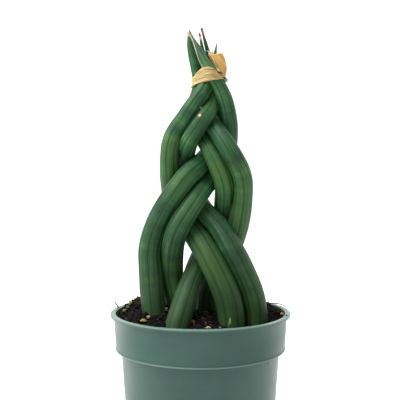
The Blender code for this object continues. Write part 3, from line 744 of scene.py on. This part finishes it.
def leaf_skin(name, tip, offset, gold, scars=()):
    """Waxy skin of a living leaf: soft pale cross-bands, fine lengthwise streaks and dark grooves."""
    # Living snake plant leaf: a smooth wax bloom over dark green gives a broad, soft sheen.
    finish, tree, skin = blank_material(name)
    up, to_tip, groove = (
        node(tree, "ShaderNodeAttribute", out="Fac", attribute_name=label)
        for label in ("up_leaf", "to_tip", "groove")
    )
    around = node(tree, "ShaderNodeAttribute", out="Vector", attribute_name="round_skin")
    rise = node(tree, "ShaderNodeCombineXYZ", {"Z": up})
    flat = node(tree, "ShaderNodeVectorMath", {0: around, 1: rise}, operation="ADD")

    # Cross-bands from noise of 11 mm, stretched round the leaf so that they only waver.
    wide = node(tree, "ShaderNodeMapping", {"Vector": flat, "Location": offset, "Scale": (0.22, 0.22, 1.0)})
    bands = node(
        tree, "ShaderNodeTexNoise", {"Vector": wide, "Scale": per(11.0), "Detail": 3.0, "Roughness": 0.62}
    )
    colour = node(
        tree, "ShaderNodeValToRGB", {"Fac": bands},
        stops=((0.25, "#245538"), (0.78, "#62994f"), (0.42, "#30673f"), (0.60, "#427e49")),
    )

    # Streaks 1.3 mm apart: the real ones are finer and are drawn coarser to show.
    fine = node(tree, "ShaderNodeMapping", {"Vector": flat, "Location": offset, "Scale": (1.0, 1.0, 0.035)})
    streaks = node(
        tree, "ShaderNodeTexNoise", {"Vector": fine, "Scale": per(1.3), "Detail": 2.0, "Roughness": 0.6}
    )
    colour = shaded(tree, colour, streaks, ((0.34, "#7f8f82"), (0.62, "#ffffff")), 0.9)

    # Broad yellower patches, a yellow-green foot, and painted shade that darkens each leaf towards the
    # soil.
    patch = node(tree, "ShaderNodeTexNoise", {"Vector": wide, "Scale": per(45.0), "Detail": 1.0})
    colour = tinted(tree, colour, "#5a8638", patch, (0.48, 0.72), (0.0, gold))
    colour = tinted(tree, colour, "#5c7f38", up, (30 * MM, 95 * MM), (0.45, 0.0))
    # Painted shade: the leaf darkens towards the soil, where less light reaches it.
    colour = tinted(tree, colour, "#1d3a20", up, (25 * MM, 170 * MM), (0.55, 0.0))

    # Dark lines along the bottoms of the grooves.
    narrow = node(tree, "ShaderNodeMath", {0: groove, 1: 2.0}, operation="POWER")
    dark = node(tree, "ShaderNodeMath", {0: narrow, 1: 0.8}, operation="MULTIPLY")
    colour = node(
        tree, "ShaderNodeMix", {0: dark, MIX_A: colour, MIX_B: "#0f2a18"}, out=MIX_OUT, data_type="RGBA"
    )

    # The dried tip, by its distance from the very end. The ramp runs a quarter past its last colour.
    reach = tip[-1][0] * 1.25
    share = node(tree, "ShaderNodeMath", {0: to_tip, 1: reach * MM}, operation="DIVIDE")
    dried = node(
        tree, "ShaderNodeValToRGB", {"Fac": share},
        stops=[(distance / reach, shade) for distance, shade in (tip[0], tip[-1], *tip[1:-1])],
    )
    colour = tinted(tree, colour, dried, share, (0.72, 1.0), (1.0, 0.0))

    # Small healed scars, each with a rim of its own colour.
    for spot, size, middle, edge in scars:
        place = node(tree, "ShaderNodeTexCoord", out="Object")
        flattened = [value * scale for value, scale in zip(spot, SCAR_SCALE)]
        place = node(tree, "ShaderNodeMapping", {"Vector": place, "Scale": SCAR_SCALE})
        away = node(
            tree, "ShaderNodeVectorMath", {0: place, 1: [value * MM for value in flattened]},
            out="Value", operation="DISTANCE",
        )
        share = node(tree, "ShaderNodeMath", {0: away, 1: size * MM}, operation="DIVIDE")
        healed = node(tree, "ShaderNodeValToRGB", {"Fac": share}, stops=((0.45, middle), (0.8, edge)))
        colour = tinted(tree, colour, healed, share, (0.85, 1.1), (1.0, 0.0))

    sheen = node(
        tree, "ShaderNodeMapRange",
        {"Value": bands, "From Min": 0.3, "From Max": 0.7, "To Min": 0.5, "To Max": 0.62},
    )
    bump = node(tree, "ShaderNodeBump", {"Height": streaks, "Strength": 0.25, "Distance": 0.4 * MM})
    fill(tree, skin, {
        "Base Color": colour, "Roughness": sheen, "Normal": bump,
        "IOR": 1.45, "Coat Weight": 0.06, "Coat Roughness": 0.5,
    })
    return finish


def moulded_plastic():
    """Grey-green moulded plastic of the pot."""
    # Injection-moulded polypropylene: a satin face with a faint grain, with painted highlight lines along
    # its edges.
    finish, tree, skin = blank_material("satin_moulded_polypropylene")
    place = node(tree, "ShaderNodeTexCoord", out="Object")
    cloud = node(tree, "ShaderNodeTexNoise", {"Vector": place, "Scale": per(30.0), "Detail": 4.0})
    colour = node(tree, "ShaderNodeValToRGB", {"Fac": cloud}, stops=((0.3, "#3c6056"), (0.7, "#446a5f")))
    # Faint level rings that the mould leaves, 1.6 mm apart.
    level = node(tree, "ShaderNodeMapping", {"Vector": place, "Scale": (0.06, 0.06, 1.0)})
    rings = node(tree, "ShaderNodeTexNoise", {"Vector": level, "Scale": per(1.6), "Detail": 2.0})
    colour = shaded(tree, colour, rings, ((0.35, "#f0f3f2"), (0.65, "#ffffff")), 0.35)
    # Painted highlights: pale lines along the collar's foot and the lip, where light catches their edges.
    height = node(tree, "ShaderNodeSeparateXYZ", {0: place}, out="Z")
    for edge, reach in PAINTED_EDGE_HIGHLIGHTS:
        off = node(tree, "ShaderNodeMath", {0: height, 1: edge * MM}, operation="SUBTRACT")
        off = node(tree, "ShaderNodeMath", {0: off}, operation="ABSOLUTE")
        colour = tinted(tree, colour, "#8fb0a2", off, (0.3 * reach * MM, reach * MM), (0.55, 0.0))
    away = node(
        tree, "ShaderNodeVectorMath", {0: place, 1: [value * MM for value in SMUDGE]},
        out="Value", operation="DISTANCE",
    )
    colour = tinted(tree, colour, "#26352f", away, (1.0 * MM, 3.6 * MM), (0.65, 0.0))
    rough = node(
        tree, "ShaderNodeMapRange",
        {"Value": cloud, "From Min": 0.3, "From Max": 0.7, "To Min": 0.32, "To Max": 0.42},
    )
    grain = node(tree, "ShaderNodeTexNoise", {"Vector": place, "Scale": per(1.2), "Detail": 2.0})
    bump = node(tree, "ShaderNodeBump", {"Height": grain, "Strength": 0.12, "Distance": 0.3 * MM})
    fill(tree, skin, {"Base Color": colour, "Roughness": rough, "Normal": bump, "IOR": 1.49})
    return finish


def potting_mix():
    """Damp peat of the soil's body."""
    # Damp peat and bark fines: nearly black, matt, with brown flecks 2 to 4 mm across.
    finish, tree, skin = blank_material("damp_peat")
    place = node(tree, "ShaderNodeTexCoord", out="Object")
    lumps = node(
        tree, "ShaderNodeTexNoise", {"Vector": place, "Scale": per(2.8), "Detail": 6.0, "Roughness": 0.7}
    )
    colour = node(
        tree, "ShaderNodeValToRGB", {"Fac": lumps},
        stops=((0.35, "#060505"), (0.75, "#241712"), (0.55, "#100b0a")),
    )
    bump = node(tree, "ShaderNodeBump", {"Height": lumps, "Strength": 0.9, "Distance": 1.5 * MM})
    fill(tree, skin, {
        "Base Color": colour, "Normal": bump, "Roughness": 0.95, "Specular IOR Level": 0.2,
    })
    return finish


def crumb_mix():
    """Loose crumbs of the potting mix, each with its own tone."""
    # Peat crumbs, bark fines and a few pale grit grains: matt and rough.
    finish, tree, skin = blank_material("loose_peat_and_bark")
    tone = node(tree, "ShaderNodeAttribute", out="Fac", attribute_name="shade")
    colour = node(
        tree, "ShaderNodeValToRGB", {"Fac": tone},
        stops=((0.0, "#0a090b"), (1.0, "#b8a27c"), (0.4, "#171214"), (0.66, "#2a1f20"),
               (0.84, "#42302b"), (0.94, "#5e3f2c"), (0.98, "#84664a")),
    )
    place = node(tree, "ShaderNodeTexCoord", out="Object")
    grain = node(tree, "ShaderNodeTexNoise", {"Vector": place, "Scale": per(0.8), "Detail": 3.0})
    colour = shaded(tree, colour, grain, ((0.3, "#8c8c8c"), (0.7, "#ffffff")), 1.0)
    bump = node(tree, "ShaderNodeBump", {"Height": grain, "Strength": 0.7, "Distance": 0.6 * MM})
    fill(tree, skin, {
        "Base Color": colour, "Normal": bump, "Roughness": 0.9, "Specular IOR Level": 0.25,
    })
    return finish


def dry_bit(name, colour):
    """A pale, yellow or brown bit that stands out in the soil, a dry fibre or a crumpled paper end."""
    # Perlite, moss, bark or dry fibre: chalky and porous, so it is matt and finely mottled.
    finish, tree, skin = blank_material(name)
    place = node(tree, "ShaderNodeTexCoord", out="Object")
    pores = node(tree, "ShaderNodeTexNoise", {"Vector": place, "Scale": per(0.7), "Detail": 3.0})
    mottled = shaded(tree, colour, pores, ((0.3, "#8a8479"), (0.62, "#ffffff")), 0.8)
    bump = node(tree, "ShaderNodeBump", {"Height": pores, "Strength": 0.5, "Distance": 0.5 * MM})
    fill(tree, skin, {"Base Color": mottled, "Normal": bump, "Roughness": 0.85})
    return finish


def raffia(name, stops):
    """Dry raffia paper with streaks that run along it."""
    # Dry raffia paper: fibres run along the strip, so its sheen is low and its colour streaky.
    # The pattern is laid in millimetres, so the streaks come about 1 mm apart.
    finish, tree, skin = blank_material(name)
    laid = node(tree, "ShaderNodeAttribute", out="Vector", attribute_name="pattern")
    fibres = node(
        tree, "ShaderNodeTexNoise", {"Vector": laid, "Scale": 0.9, "Detail": 4.0, "Roughness": 0.6}
    )
    colour = node(tree, "ShaderNodeValToRGB", {"Fac": fibres}, stops)
    bump = node(tree, "ShaderNodeBump", {"Height": fibres, "Strength": 0.6, "Distance": 0.6 * MM})
    fill(tree, skin, {
        "Base Color": colour, "Normal": bump, "Roughness": 0.6, "Subsurface Weight": 0.5,
        "Subsurface Radius": (0.9, 0.5, 0.2), "Subsurface Scale": 4 * MM,
    })
    return finish


# Leaves and shoot.


def build_leaves(lines, tree):
    """The six fine leaves, each swept along its settled line."""
    for index, (name, rows) in enumerate(lines.items()):
        rows = smooth_line(rows, LEAF_RINGS)
        rows[:, 3] += LEAF_SWELL * (rows[:, 3] > SWELL_FROM)
        if name in BLUNT_TIPS:
            blunt_tip(rows, np.array(BLUNT_TIPS[name]))
        offset = [index * step for step in PATTERN_STEP]
        gold = GOLD.get(name, USUAL_GOLD)
        skin = leaf_skin(name + "_waxed_skin", TIPS[name], offset, gold, SCARS.get(name, ()))
        leaf = shaped_by(tree, line_object("waxy_" + name, rows), {**LEAF_FORM, "Material": skin})
        face_outward(leaf)
        place_piece(leaf, "leaf_skin", name)


def build_shoot(tree):
    """The young spike in front of the leaves."""
    foot = np.array(SHOOT_FOOT)
    tip = np.array(SHOOT_TIP)
    line = smooth_line(np.array([foot, 0.5 * (foot + tip) - SHOOT_BEND, tip]), SHOOT_RINGS)
    along = np.linspace(0.0, 1.0, len(line))
    radii = np.maximum(SHOOT_RADIUS * (1 - along**3) ** 0.7, SHOOT_TIP_RADIUS)
    skin = leaf_skin("young_leaf_skin", SHOOT_TONES, SHOOT_PATTERN, SHOOT_GOLD)
    rows = np.column_stack([line, radii])
    shoot = shaped_by(tree, line_object("green_shoot", rows), {**SHOOT_FORM, "Material": skin})
    face_outward(shoot)
    place_piece(shoot, "shoot_skin", "young_shoot")


# Pot, soil and what lies on it.


def pot_outline():
    """The pot's section, up the inside and down the outside, with the roundings of its edges."""
    collar_foot = POT_HEIGHT - COLLAR_HEIGHT
    inner_top = COLLAR_TOP_RADIUS - POT_WALL
    inner_foot = COLLAR_FOOT_RADIUS - POT_WALL
    lip_under = POT_HEIGHT - LIP_THICKNESS
    return (
        (0.0, FLOOR_THICKNESS),
        (BODY_FOOT_RADIUS - 4.0, FLOOR_THICKNESS),
        (BODY_FOOT_RADIUS - 2.4, FLOOR_THICKNESS + 0.6),
        (BODY_FOOT_RADIUS - POT_WALL, FLOOR_THICKNESS + 2.5),
        (BODY_TOP_RADIUS - POT_WALL, collar_foot - 1.5),
        (BODY_TOP_RADIUS - 0.6, collar_foot + 0.6),
        (inner_foot - 1.0, collar_foot + 2.0),
        (inner_foot - 0.4, collar_foot + 3.6),
        (inner_top - 0.8, POT_HEIGHT - 14.0),
        (inner_top, POT_HEIGHT - 0.8),
        (inner_top + 0.2, POT_HEIGHT - 0.25),
        (inner_top + 0.7, POT_HEIGHT),
        (LIP_RADIUS - 0.9, POT_HEIGHT),
        (LIP_RADIUS - 0.35, POT_HEIGHT - 0.15),
        (LIP_RADIUS - 0.08, POT_HEIGHT - 0.5),
        (LIP_RADIUS, POT_HEIGHT - 0.9),
        (LIP_RADIUS, lip_under + 0.7),
        (LIP_RADIUS - 0.15, lip_under + 0.3),
        (LIP_RADIUS - 0.5, lip_under),
        (COLLAR_TOP_RADIUS + 0.4, lip_under - 0.1),
        (COLLAR_TOP_RADIUS, lip_under - 0.6),
        (COLLAR_TOP_RADIUS - 0.7, POT_HEIGHT - 16.0),
        (COLLAR_FOOT_RADIUS + 0.05, collar_foot + 3.0),
        (COLLAR_FOOT_RADIUS + 0.1, collar_foot + 1.7),
        (COLLAR_FOOT_RADIUS + 0.45, collar_foot + 1.15),
        (COLLAR_FOOT_RADIUS + 0.6, collar_foot + 0.7),
        (COLLAR_FOOT_RADIUS + 0.35, collar_foot + 0.25),
        (COLLAR_FOOT_RADIUS - 0.4, collar_foot),
        (BODY_TOP_RADIUS + 0.5, collar_foot - 0.1),
        (BODY_TOP_RADIUS, collar_foot - 0.8),
        (BODY_FOOT_RADIUS + 0.6, 6.0),
        (BODY_FOOT_RADIUS, 2.0),
        (BODY_FOOT_RADIUS - 0.6, 0.6),
        (BODY_FOOT_RADIUS - 1.8, 0.0),
        (0.0, 0.0),
    )


def build_pot():
    """The turned pot with its ring of drainage holes."""
    mesh = bpy.data.meshes.new("plastic_pot")
    outline = [(radius * MM, 0.0, height * MM) for radius, height in pot_outline()]
    mesh.from_pydata(outline, [(k, k + 1) for k in range(len(outline) - 1)], [])
    pot = add_object("plastic_pot", mesh)
    screw = pot.modifiers.new("Screw", "SCREW")
    screw.steps = POT_SIDES
    screw.render_steps = POT_SIDES
    screw.use_merge_vertices = True
    screw.merge_threshold = SEAM_MERGE
    pot = as_mesh(pot)
    face_outward(pot)
    cutters = []
    for index in range(DRAIN_COUNT):
        angle = 2 * math.pi * (index + 0.5) / DRAIN_COUNT
        x = DRAIN_RING_RADIUS * MM * math.cos(angle)
        y = DRAIN_RING_RADIUS * MM * math.sin(angle)
        bpy.ops.mesh.primitive_cylinder_add(
            vertices=DRAIN_SIDES, radius=DRAIN_RADIUS * MM, depth=DRAIN_CUT * MM, location=(x, y, 0.0)
        )
        cutters.append(bpy.context.active_object)
        hole = pot.modifiers.new("Drain", "BOOLEAN")
        hole.operation = "DIFFERENCE"
        hole.object = cutters[-1]
        hole.solver = "EXACT"
    pot = as_mesh(pot)
    for cutter in cutters:
        bpy.data.objects.remove(cutter)
    pot.data.materials.clear()
    pot.data.materials.append(moulded_plastic())
    pot.data.shade_smooth()
    pot.data.set_sharp_from_angle(angle=SHARP_EDGE)
    place_piece(pot, "pot_plastic", "pot")


def soil_relief():
    """A function that gives the soil's height at a place: broad heaps and seeded humps."""
    random = np.random.default_rng(HUMP_SEED)
    turn = random.uniform(0, 2 * math.pi, HUMP_COUNT)
    reach = HUMP_REACH * np.sqrt(random.uniform(HUMP_NEAREST, 1, HUMP_COUNT))
    heights = random.uniform(*HUMP_HEIGHTS, HUMP_COUNT)
    widths = random.uniform(*HUMP_WIDTHS, HUMP_COUNT)
    humps = zip(reach * np.cos(turn), reach * np.sin(turn), heights, widths)
    bumps = np.array(list(HEAPS) + list(humps))

    def height(x, y):
        away = ((x - bumps[:, 0]) ** 2 + (y - bumps[:, 1]) ** 2) / bumps[:, 3] ** 2
        return SOIL_LEVEL + float((bumps[:, 2] * np.exp(-away)).sum())

    return height


def polar_rows(radii, height):
    """Rings of points at these radii, with the height read at each place."""
    angles = np.linspace(0, 2 * math.pi, SOIL_SIDES, endpoint=False)
    return [[(r * math.cos(a), r * math.sin(a), height(r * math.cos(a), r * math.sin(a)))
             for a in angles] for r in radii]


def build_soil(tree):
    """The soil's body and the loose crumbs and bits on it."""
    height = soil_relief()
    inside = pot_outline()[1:10]
    wall = [(radius - SOIL_GAP, level) for radius, level in inside]
    wall[:2] = [(radius, level + SOIL_GAP) for radius, level in wall[:2]]
    rim = wall[-2][0]
    rings = polar_rows([SOIL_MIDDLE], lambda x, y: wall[0][1])
    for radius, level in wall[:-1]:
        if level < SOIL_LEVEL - SOIL_SHOULDER:
            rings += polar_rows([radius], lambda x, y: level)
    rings += polar_rows(np.linspace(rim, SOIL_MIDDLE, SOIL_RINGS), height)
    body = grid_object("peat_body", rings, potting_mix(), close_round=True)
    shell = bmesh.new()
    shell.from_mesh(body.data)
    bmesh.ops.holes_fill(shell, edges=shell.edges, sides=SOIL_SIDES)
    shell.to_mesh(body.data)
    shell.free()
    face_outward(body)
    place_piece(body, "potting_mix", "soil")

    loose = crumb_mix()
    ground = polar_rows(np.linspace(CRUMB_GROUND_RADIUS, CRUMB_GROUND_MIDDLE, CRUMB_GROUND_RINGS), height)
    for name, density, smallest, largest, seed in CRUMBS:
        patch = grid_object(name, ground, loose, close_round=True)
        pile = shaped_by(tree, patch, {
            "Density": density, "Smallest": [v * MM for v in smallest],
            "Largest": [v * MM for v in largest], "Roundness": 1, "Seed": seed, "Material": loose,
        })
        place_piece(pile, "potting_mix")
    for index, (x, y, rise, length, width, kind, colour) in enumerate(BITS):
        level = POT_HEIGHT if math.hypot(x, y) > rim else height(x, y)
        size = (length, width, width * BIT_FLATNESS)
        finish = dry_bit(f"{kind}_{index}", colour)
        build_bit(f"soil_bit_{index}", (x, y, level + rise), size, finish, index, "potting_mix")


def build_bit(name, place, size, finish, seed, slot):
    """One small uneven lump, swollen by long waves and turned about its upright axis."""
    random = np.random.default_rng(BIT_SEED + seed)
    phases = random.uniform(0, 2 * math.pi, 3)
    turn = random.uniform(0, math.pi)

    def moved(x, y, z):  # two long waves that cross, and one shorter one
        swell = 1 + 0.16 * math.sin(7 * x + phases[0]) * math.sin(6 * y + phases[1])
        swell += 0.12 * math.sin(9 * z + phases[2])
        x, y, z = (value * swell * extent for value, extent in zip((x, y, z), size))
        across = x * math.cos(turn) - y * math.sin(turn)
        deep = x * math.sin(turn) + y * math.cos(turn)
        return [v + c for v, c in zip((across, deep, z), place)]

    build_lump(name, BIT_DETAIL, 0.5, moved, finish, slot)


def build_fibres():
    """Thin fibres on the soil and over the rim, which thin to half at their far ends."""
    for name, (radius, kind, colour, points) in FIBRES.items():
        line = smooth_line(np.array(points), FIBRE_RINGS)
        along = np.linspace(0.0, 1.0, len(line))
        rows = np.column_stack([line, radius * (1 - 0.5 * along**2)])
        build_strand(name, rows, THIN_SIDES, dry_bit(kind, colour), "potting_mix")


# The tie.


def hull_reach(bundle, height, angle):
    """The point of the leaf bundle that lies furthest that way at one height."""
    way = np.array([math.cos(angle), math.sin(angle)])
    best = None
    for rows in bundle:
        away = rows[:, 3] ** 2 - (rows[:, 2] - height) ** 2
        touching = away > 0
        if not touching.any():
            continue
        slice_radius = np.sqrt(away[touching])
        reach = rows[touching, :2] @ way + slice_radius
        far = reach.argmax()
        if best is None or reach[far] > best[0]:
            best = (reach[far], rows[touching, :2][far] + slice_radius[far] * way)
    return best[1]


def band_loop(bundle, height):
    """The taut loop round the bundle at one height, with evenly spaced points from its back."""
    angles = np.radians(90 + np.arange(361))
    reach = np.array([hull_reach(bundle, height, angle) for angle in angles])
    return resample(reach, BAND_SIDES, closed=True)


def band_rows(bundle):
    """Points of the taut band, row by row from its lower to its upper edge, and their outward ways."""
    heights = np.linspace(*BAND_HEIGHTS, BAND_LOOPS)
    loops = np.array([band_loop(bundle, height) for height in heights])
    middle = loops[BAND_LOOPS // 2]
    front = np.array(BAND_FRONT)
    back = np.array(BAND_BACK)
    nearness = np.clip((BAND_FRONT_DEPTH - middle[:, 1]) / BAND_BLEND + 0.5, 0.0, 1.0)
    edges = []
    for column in (1, 2):
        seen = np.interp(middle[:, 0], front[:, 0], front[:, column])
        hidden = np.interp(middle[:, 0], back[:, 0], back[:, column])
        edges.append(nearness * seen + (1 - nearness) * hidden)
    low, high = edges
    rows = []
    for share in np.linspace(0.0, 1.0, BAND_LEVELS):
        level = low + (high - low) * share
        flat = [[np.interp(level[k], heights, loops[:, k, axis]) for axis in (0, 1)]
                for k in range(BAND_SIDES)]
        rows.append(np.column_stack([flat, level]))
    along = np.roll(middle, -1, axis=0) - np.roll(middle, 1, axis=0)
    outward = np.column_stack([along[:, 1], -along[:, 0], np.zeros(BAND_SIDES)])
    outward /= np.linalg.norm(outward, axis=1)[:, None]
    return np.array(rows), outward


def build_band(lines, finish):
    """The paper band round the bundle, closed inside and out, with long shallow folds."""
    rows, outward = band_rows([resample(rows, BUNDLE_POINTS) for rows in lines.values()])
    share = np.linspace(0.0, 1.0, BAND_LEVELS)[:, None]
    turn = np.linspace(0.0, 2 * math.pi, BAND_SIDES, endpoint=False)[None]
    # Two folds that wander up and down, crossed by four that climb as they go round.
    fold = np.sin(14 * share + 2.2 * np.sin(turn - 0.6)) + 0.6 * np.sin(27 * share - 3 * turn)
    inner = rows + outward * (BAND_CLEARANCE + BAND_FOLD * fold)[..., None]
    outer = inner + outward * BAND_THICKNESS
    rows = np.concatenate([outer, inner[::-1]])
    pattern = rows * FIBRE_STRETCH - FIBRE_START
    band = grid_object("paper_band", rows, finish, close_round=True, close_rows=True, pattern=pattern)
    face_outward(band)
    place_piece(band, "ribbon", "ribbon_tie")


def build_strip(name, left, right, bow, finish):
    """A paper end between two edges, rippled, bowed towards the viewer and given its thickness."""
    left = smooth_line(np.array(left), STRIP_ROWS)
    right = smooth_line(np.array(right), STRIP_ROWS)
    grid = []
    pattern = []
    for up, start, end in zip(np.linspace(0.0, 1.0, STRIP_ROWS), left, right):
        line = []
        for share in np.linspace(0.0, 1.0, STRIP_COLUMNS):
            # Ripples across that die out towards the end, and a slow wave along.
            ripple = 0.25 * math.sin(15 * share + 2.5 * up) * (1 - up)
            ripple += 0.18 * math.sin(6 * up + 4 * share)
            depth = -bow * 4 * share * (1 - share) + ripple
            line.append(start + (end - start) * share + (0.0, depth, 0.0))
            pattern.append((share * np.linalg.norm(end - start) + 3 * up, 2.0 * up, 5.0))
        grid.append(line)
    strip = grid_object(name, grid, finish, pattern=pattern)
    solid = strip.modifiers.new("Solidify", "SOLIDIFY")
    solid.thickness = STRIP_THICKNESS * MM
    solid.offset = 0.0
    strip = as_mesh(strip)
    face_outward(strip)
    place_piece(strip, "ribbon")


def build_knot(finish, dark):
    """The crumpled knob and the twisted strands that lead to it."""

    def moved(x, y, z):  # two long creases that cross, and fine ones
        crumple = 1 + 0.10 * math.sin(6 * x + 4 * z) + 0.08 * math.sin(9 * z - 5 * y + 1)
        crumple += 0.05 * math.sin(17 * x + 11 * y)
        return [value * crumple * radius + c for value, radius, c in zip((x, y, z), KNOB_RADII, KNOB)]

    build_lump("ribbon_knob", KNOB_DETAIL, 1.0, moved, finish, "ribbon")
    start, end = np.array(TWIST_ENDS)
    share = np.linspace(0.0, 1.0, TWIST_RINGS)
    for index in range(TWIST_STRANDS):
        turn = 2 * math.pi * (index / TWIST_STRANDS + TWIST_TURNS * share)
        line = start + (end - start) * share[:, None]
        line[:, 0] += TWIST_RADIUS * np.cos(turn) * 0.6
        line[:, 1] += TWIST_RADIUS * np.sin(turn)
        line[:, 2] += TWIST_RADIUS * np.cos(turn) * 0.8
        rows = np.column_stack([line, np.full(len(share), STRAND_RADIUS)])
        build_strand(f"twist_strand_{index}", rows, 12, dark if index == 1 else finish, "ribbon")


def build_ribbon(lines):
    """The whole tie, and the dry margin of the leaf that stands out over it."""
    build_band(lines, raffia("raffia_paper_band", BAND_TONES))
    build_strip("paper_flap", FLAP_LEFT, FLAP_RIGHT, FLAP_BOW, raffia("raffia_paper_flap", FLAP_TONES))
    build_strip("paper_tail", TAIL_LEFT, TAIL_RIGHT, TAIL_BOW, raffia("raffia_paper_tail", TAIL_TONES))
    build_knot(dry_bit("crumpled_raffia", "#e0cda4"), dry_bit("dark_raffia", "#6e573c"))
    points = smooth_line(np.array(RIBBON_EDGE), 40)
    rows = np.column_stack([points, np.full(len(points), RIBBON_EDGE_RADIUS)])
    build_strand("ribbon_rim", rows, THIN_SIDES, dry_bit("cream_raffia", "#fff0cc"), "ribbon")
    build_bit("dark_tail_end", *DARK_TAIL_END, dry_bit("browned_raffia", "#1d1a18"), 50, "ribbon")
    rows = smooth_line(np.array(LEAF_EDGE), 50)
    build_strand("dry_leaf_margin", rows, THIN_SIDES, dry_bit("dry_leaf_skin", "#f4ead0"), "leaf_skin")


# Floor, light and camera.


def white_studio():
    """A white surround that is bright behind the plant and dim in front, as in a light tent."""
    world = bpy.data.worlds.new("white_studio")
    world.use_nodes = True
    tree = world.node_tree
    way = node(tree, "ShaderNodeTexCoord", out="Generated")
    depth = node(tree, "ShaderNodeSeparateXYZ", {0: way}, out="Y")
    glow = node(
        tree, "ShaderNodeMapRange",
        {"Value": depth, "From Min": -1.0, "From Max": 1.0, "To Min": TENT_FRONT, "To Max": TENT_BACK},
    )
    seen = node(tree, "ShaderNodeLightPath", out="Is Camera Ray")
    shown = node(tree, "ShaderNodeMath", {0: seen, 1: glow}, operation="MAXIMUM")
    fill(tree, tree.nodes["Background"].inputs, {"Color": "#ffffff", "Strength": shown})
    return world


def white_ground():
    """The floor's finish: plain white, and lit from behind towards its far side."""
    # Matt white laminate on a light table: a plain, shadowless ground.
    finish, tree, skin = blank_material("white_laminate")
    place = node(tree, "ShaderNodeTexCoord", out="Object")
    depth = node(tree, "ShaderNodeSeparateXYZ", {0: place}, out="Y")
    glow = node(
        tree, "ShaderNodeMapRange",
        {"Value": depth, "From Min": FLOOR_GLOW_DEPTHS[0] * MM, "From Max": FLOOR_GLOW_DEPTHS[1] * MM,
         "To Min": 0.0, "To Max": FLOOR_GLOW},
    )
    # Far from the plant the ground fades into the white surround, for the eye alone.
    reach = node(tree, "ShaderNodeVectorMath", {0: place}, out="Value", operation="LENGTH")
    far = node(
        tree, "ShaderNodeMapRange",
        {"Value": reach, "From Min": FLOOR_FADE[0] * MM, "From Max": FLOOR_FADE[1] * MM,
         "To Min": 0.0, "To Max": 1.0},
    )
    seen = node(tree, "ShaderNodeLightPath", out="Is Camera Ray")
    far = node(tree, "ShaderNodeMath", {0: far, 1: seen}, operation="MULTIPLY")
    glow = node(tree, "ShaderNodeMath", {0: glow, 1: far}, operation="MAXIMUM")
    cloud = node(tree, "ShaderNodeTexNoise", {"Vector": place, "Scale": 2.0})
    colour = node(tree, "ShaderNodeValToRGB", {"Fac": cloud}, stops=((0.3, "#dcdcdc"), (0.7, "#e2e2e2")))
    fill(tree, skin, {
        "Base Color": colour, "Emission Strength": glow, "Emission Color": "#ffffff",
        "Roughness": 0.9, "Specular IOR Level": 0.1,
    })
    return finish


def build_stage():
    """A plain white floor, soft studio light and the camera at the photograph's angle."""
    corners = [[(x, y, 0.0) for x in (-FLOOR_REACH, FLOOR_REACH)] for y in (-FLOOR_REACH, FLOOR_REACH)]
    floor = grid_object("studio_floor", corners, white_ground())

    scene = bpy.context.scene
    scene.view_settings.view_transform = "Standard"
    scene.world = white_studio()
    for name, spot, watts in SOFTBOXES:
        lamp = bpy.data.lights.new(name, "AREA")
        lamp.energy = watts
        lamp.size = SOFTBOX_SIZE * MM
        holder = add_object(name, lamp)
        holder.location = [value * MM for value in spot]
        aim = Vector(LIGHT_AIM) - Vector(spot)
        holder.rotation_euler = aim.to_track_quat("-Z", "Y").to_euler()
    lens = bpy.data.cameras.new("photo_camera")
    lens.lens = CAMERA_LENS
    lens.sensor_width = CAMERA_SENSOR
    viewer = add_object("photo_camera", lens)
    viewer.location = [value * MM for value in CAMERA_PLACE]
    viewer.rotation_euler = (math.pi / 2, 0.0, 0.0)
    scene.camera = viewer


def main():
    """Dress the frame."""
    build_stage()
    lines = leaf_lines()
    sweep = leaf_tree()
    build_leaves(lines, sweep)
    build_shoot(sweep)
    build_pot()
    build_soil(crumb_tree())
    build_fibres()
    build_ribbon(lines)


main()
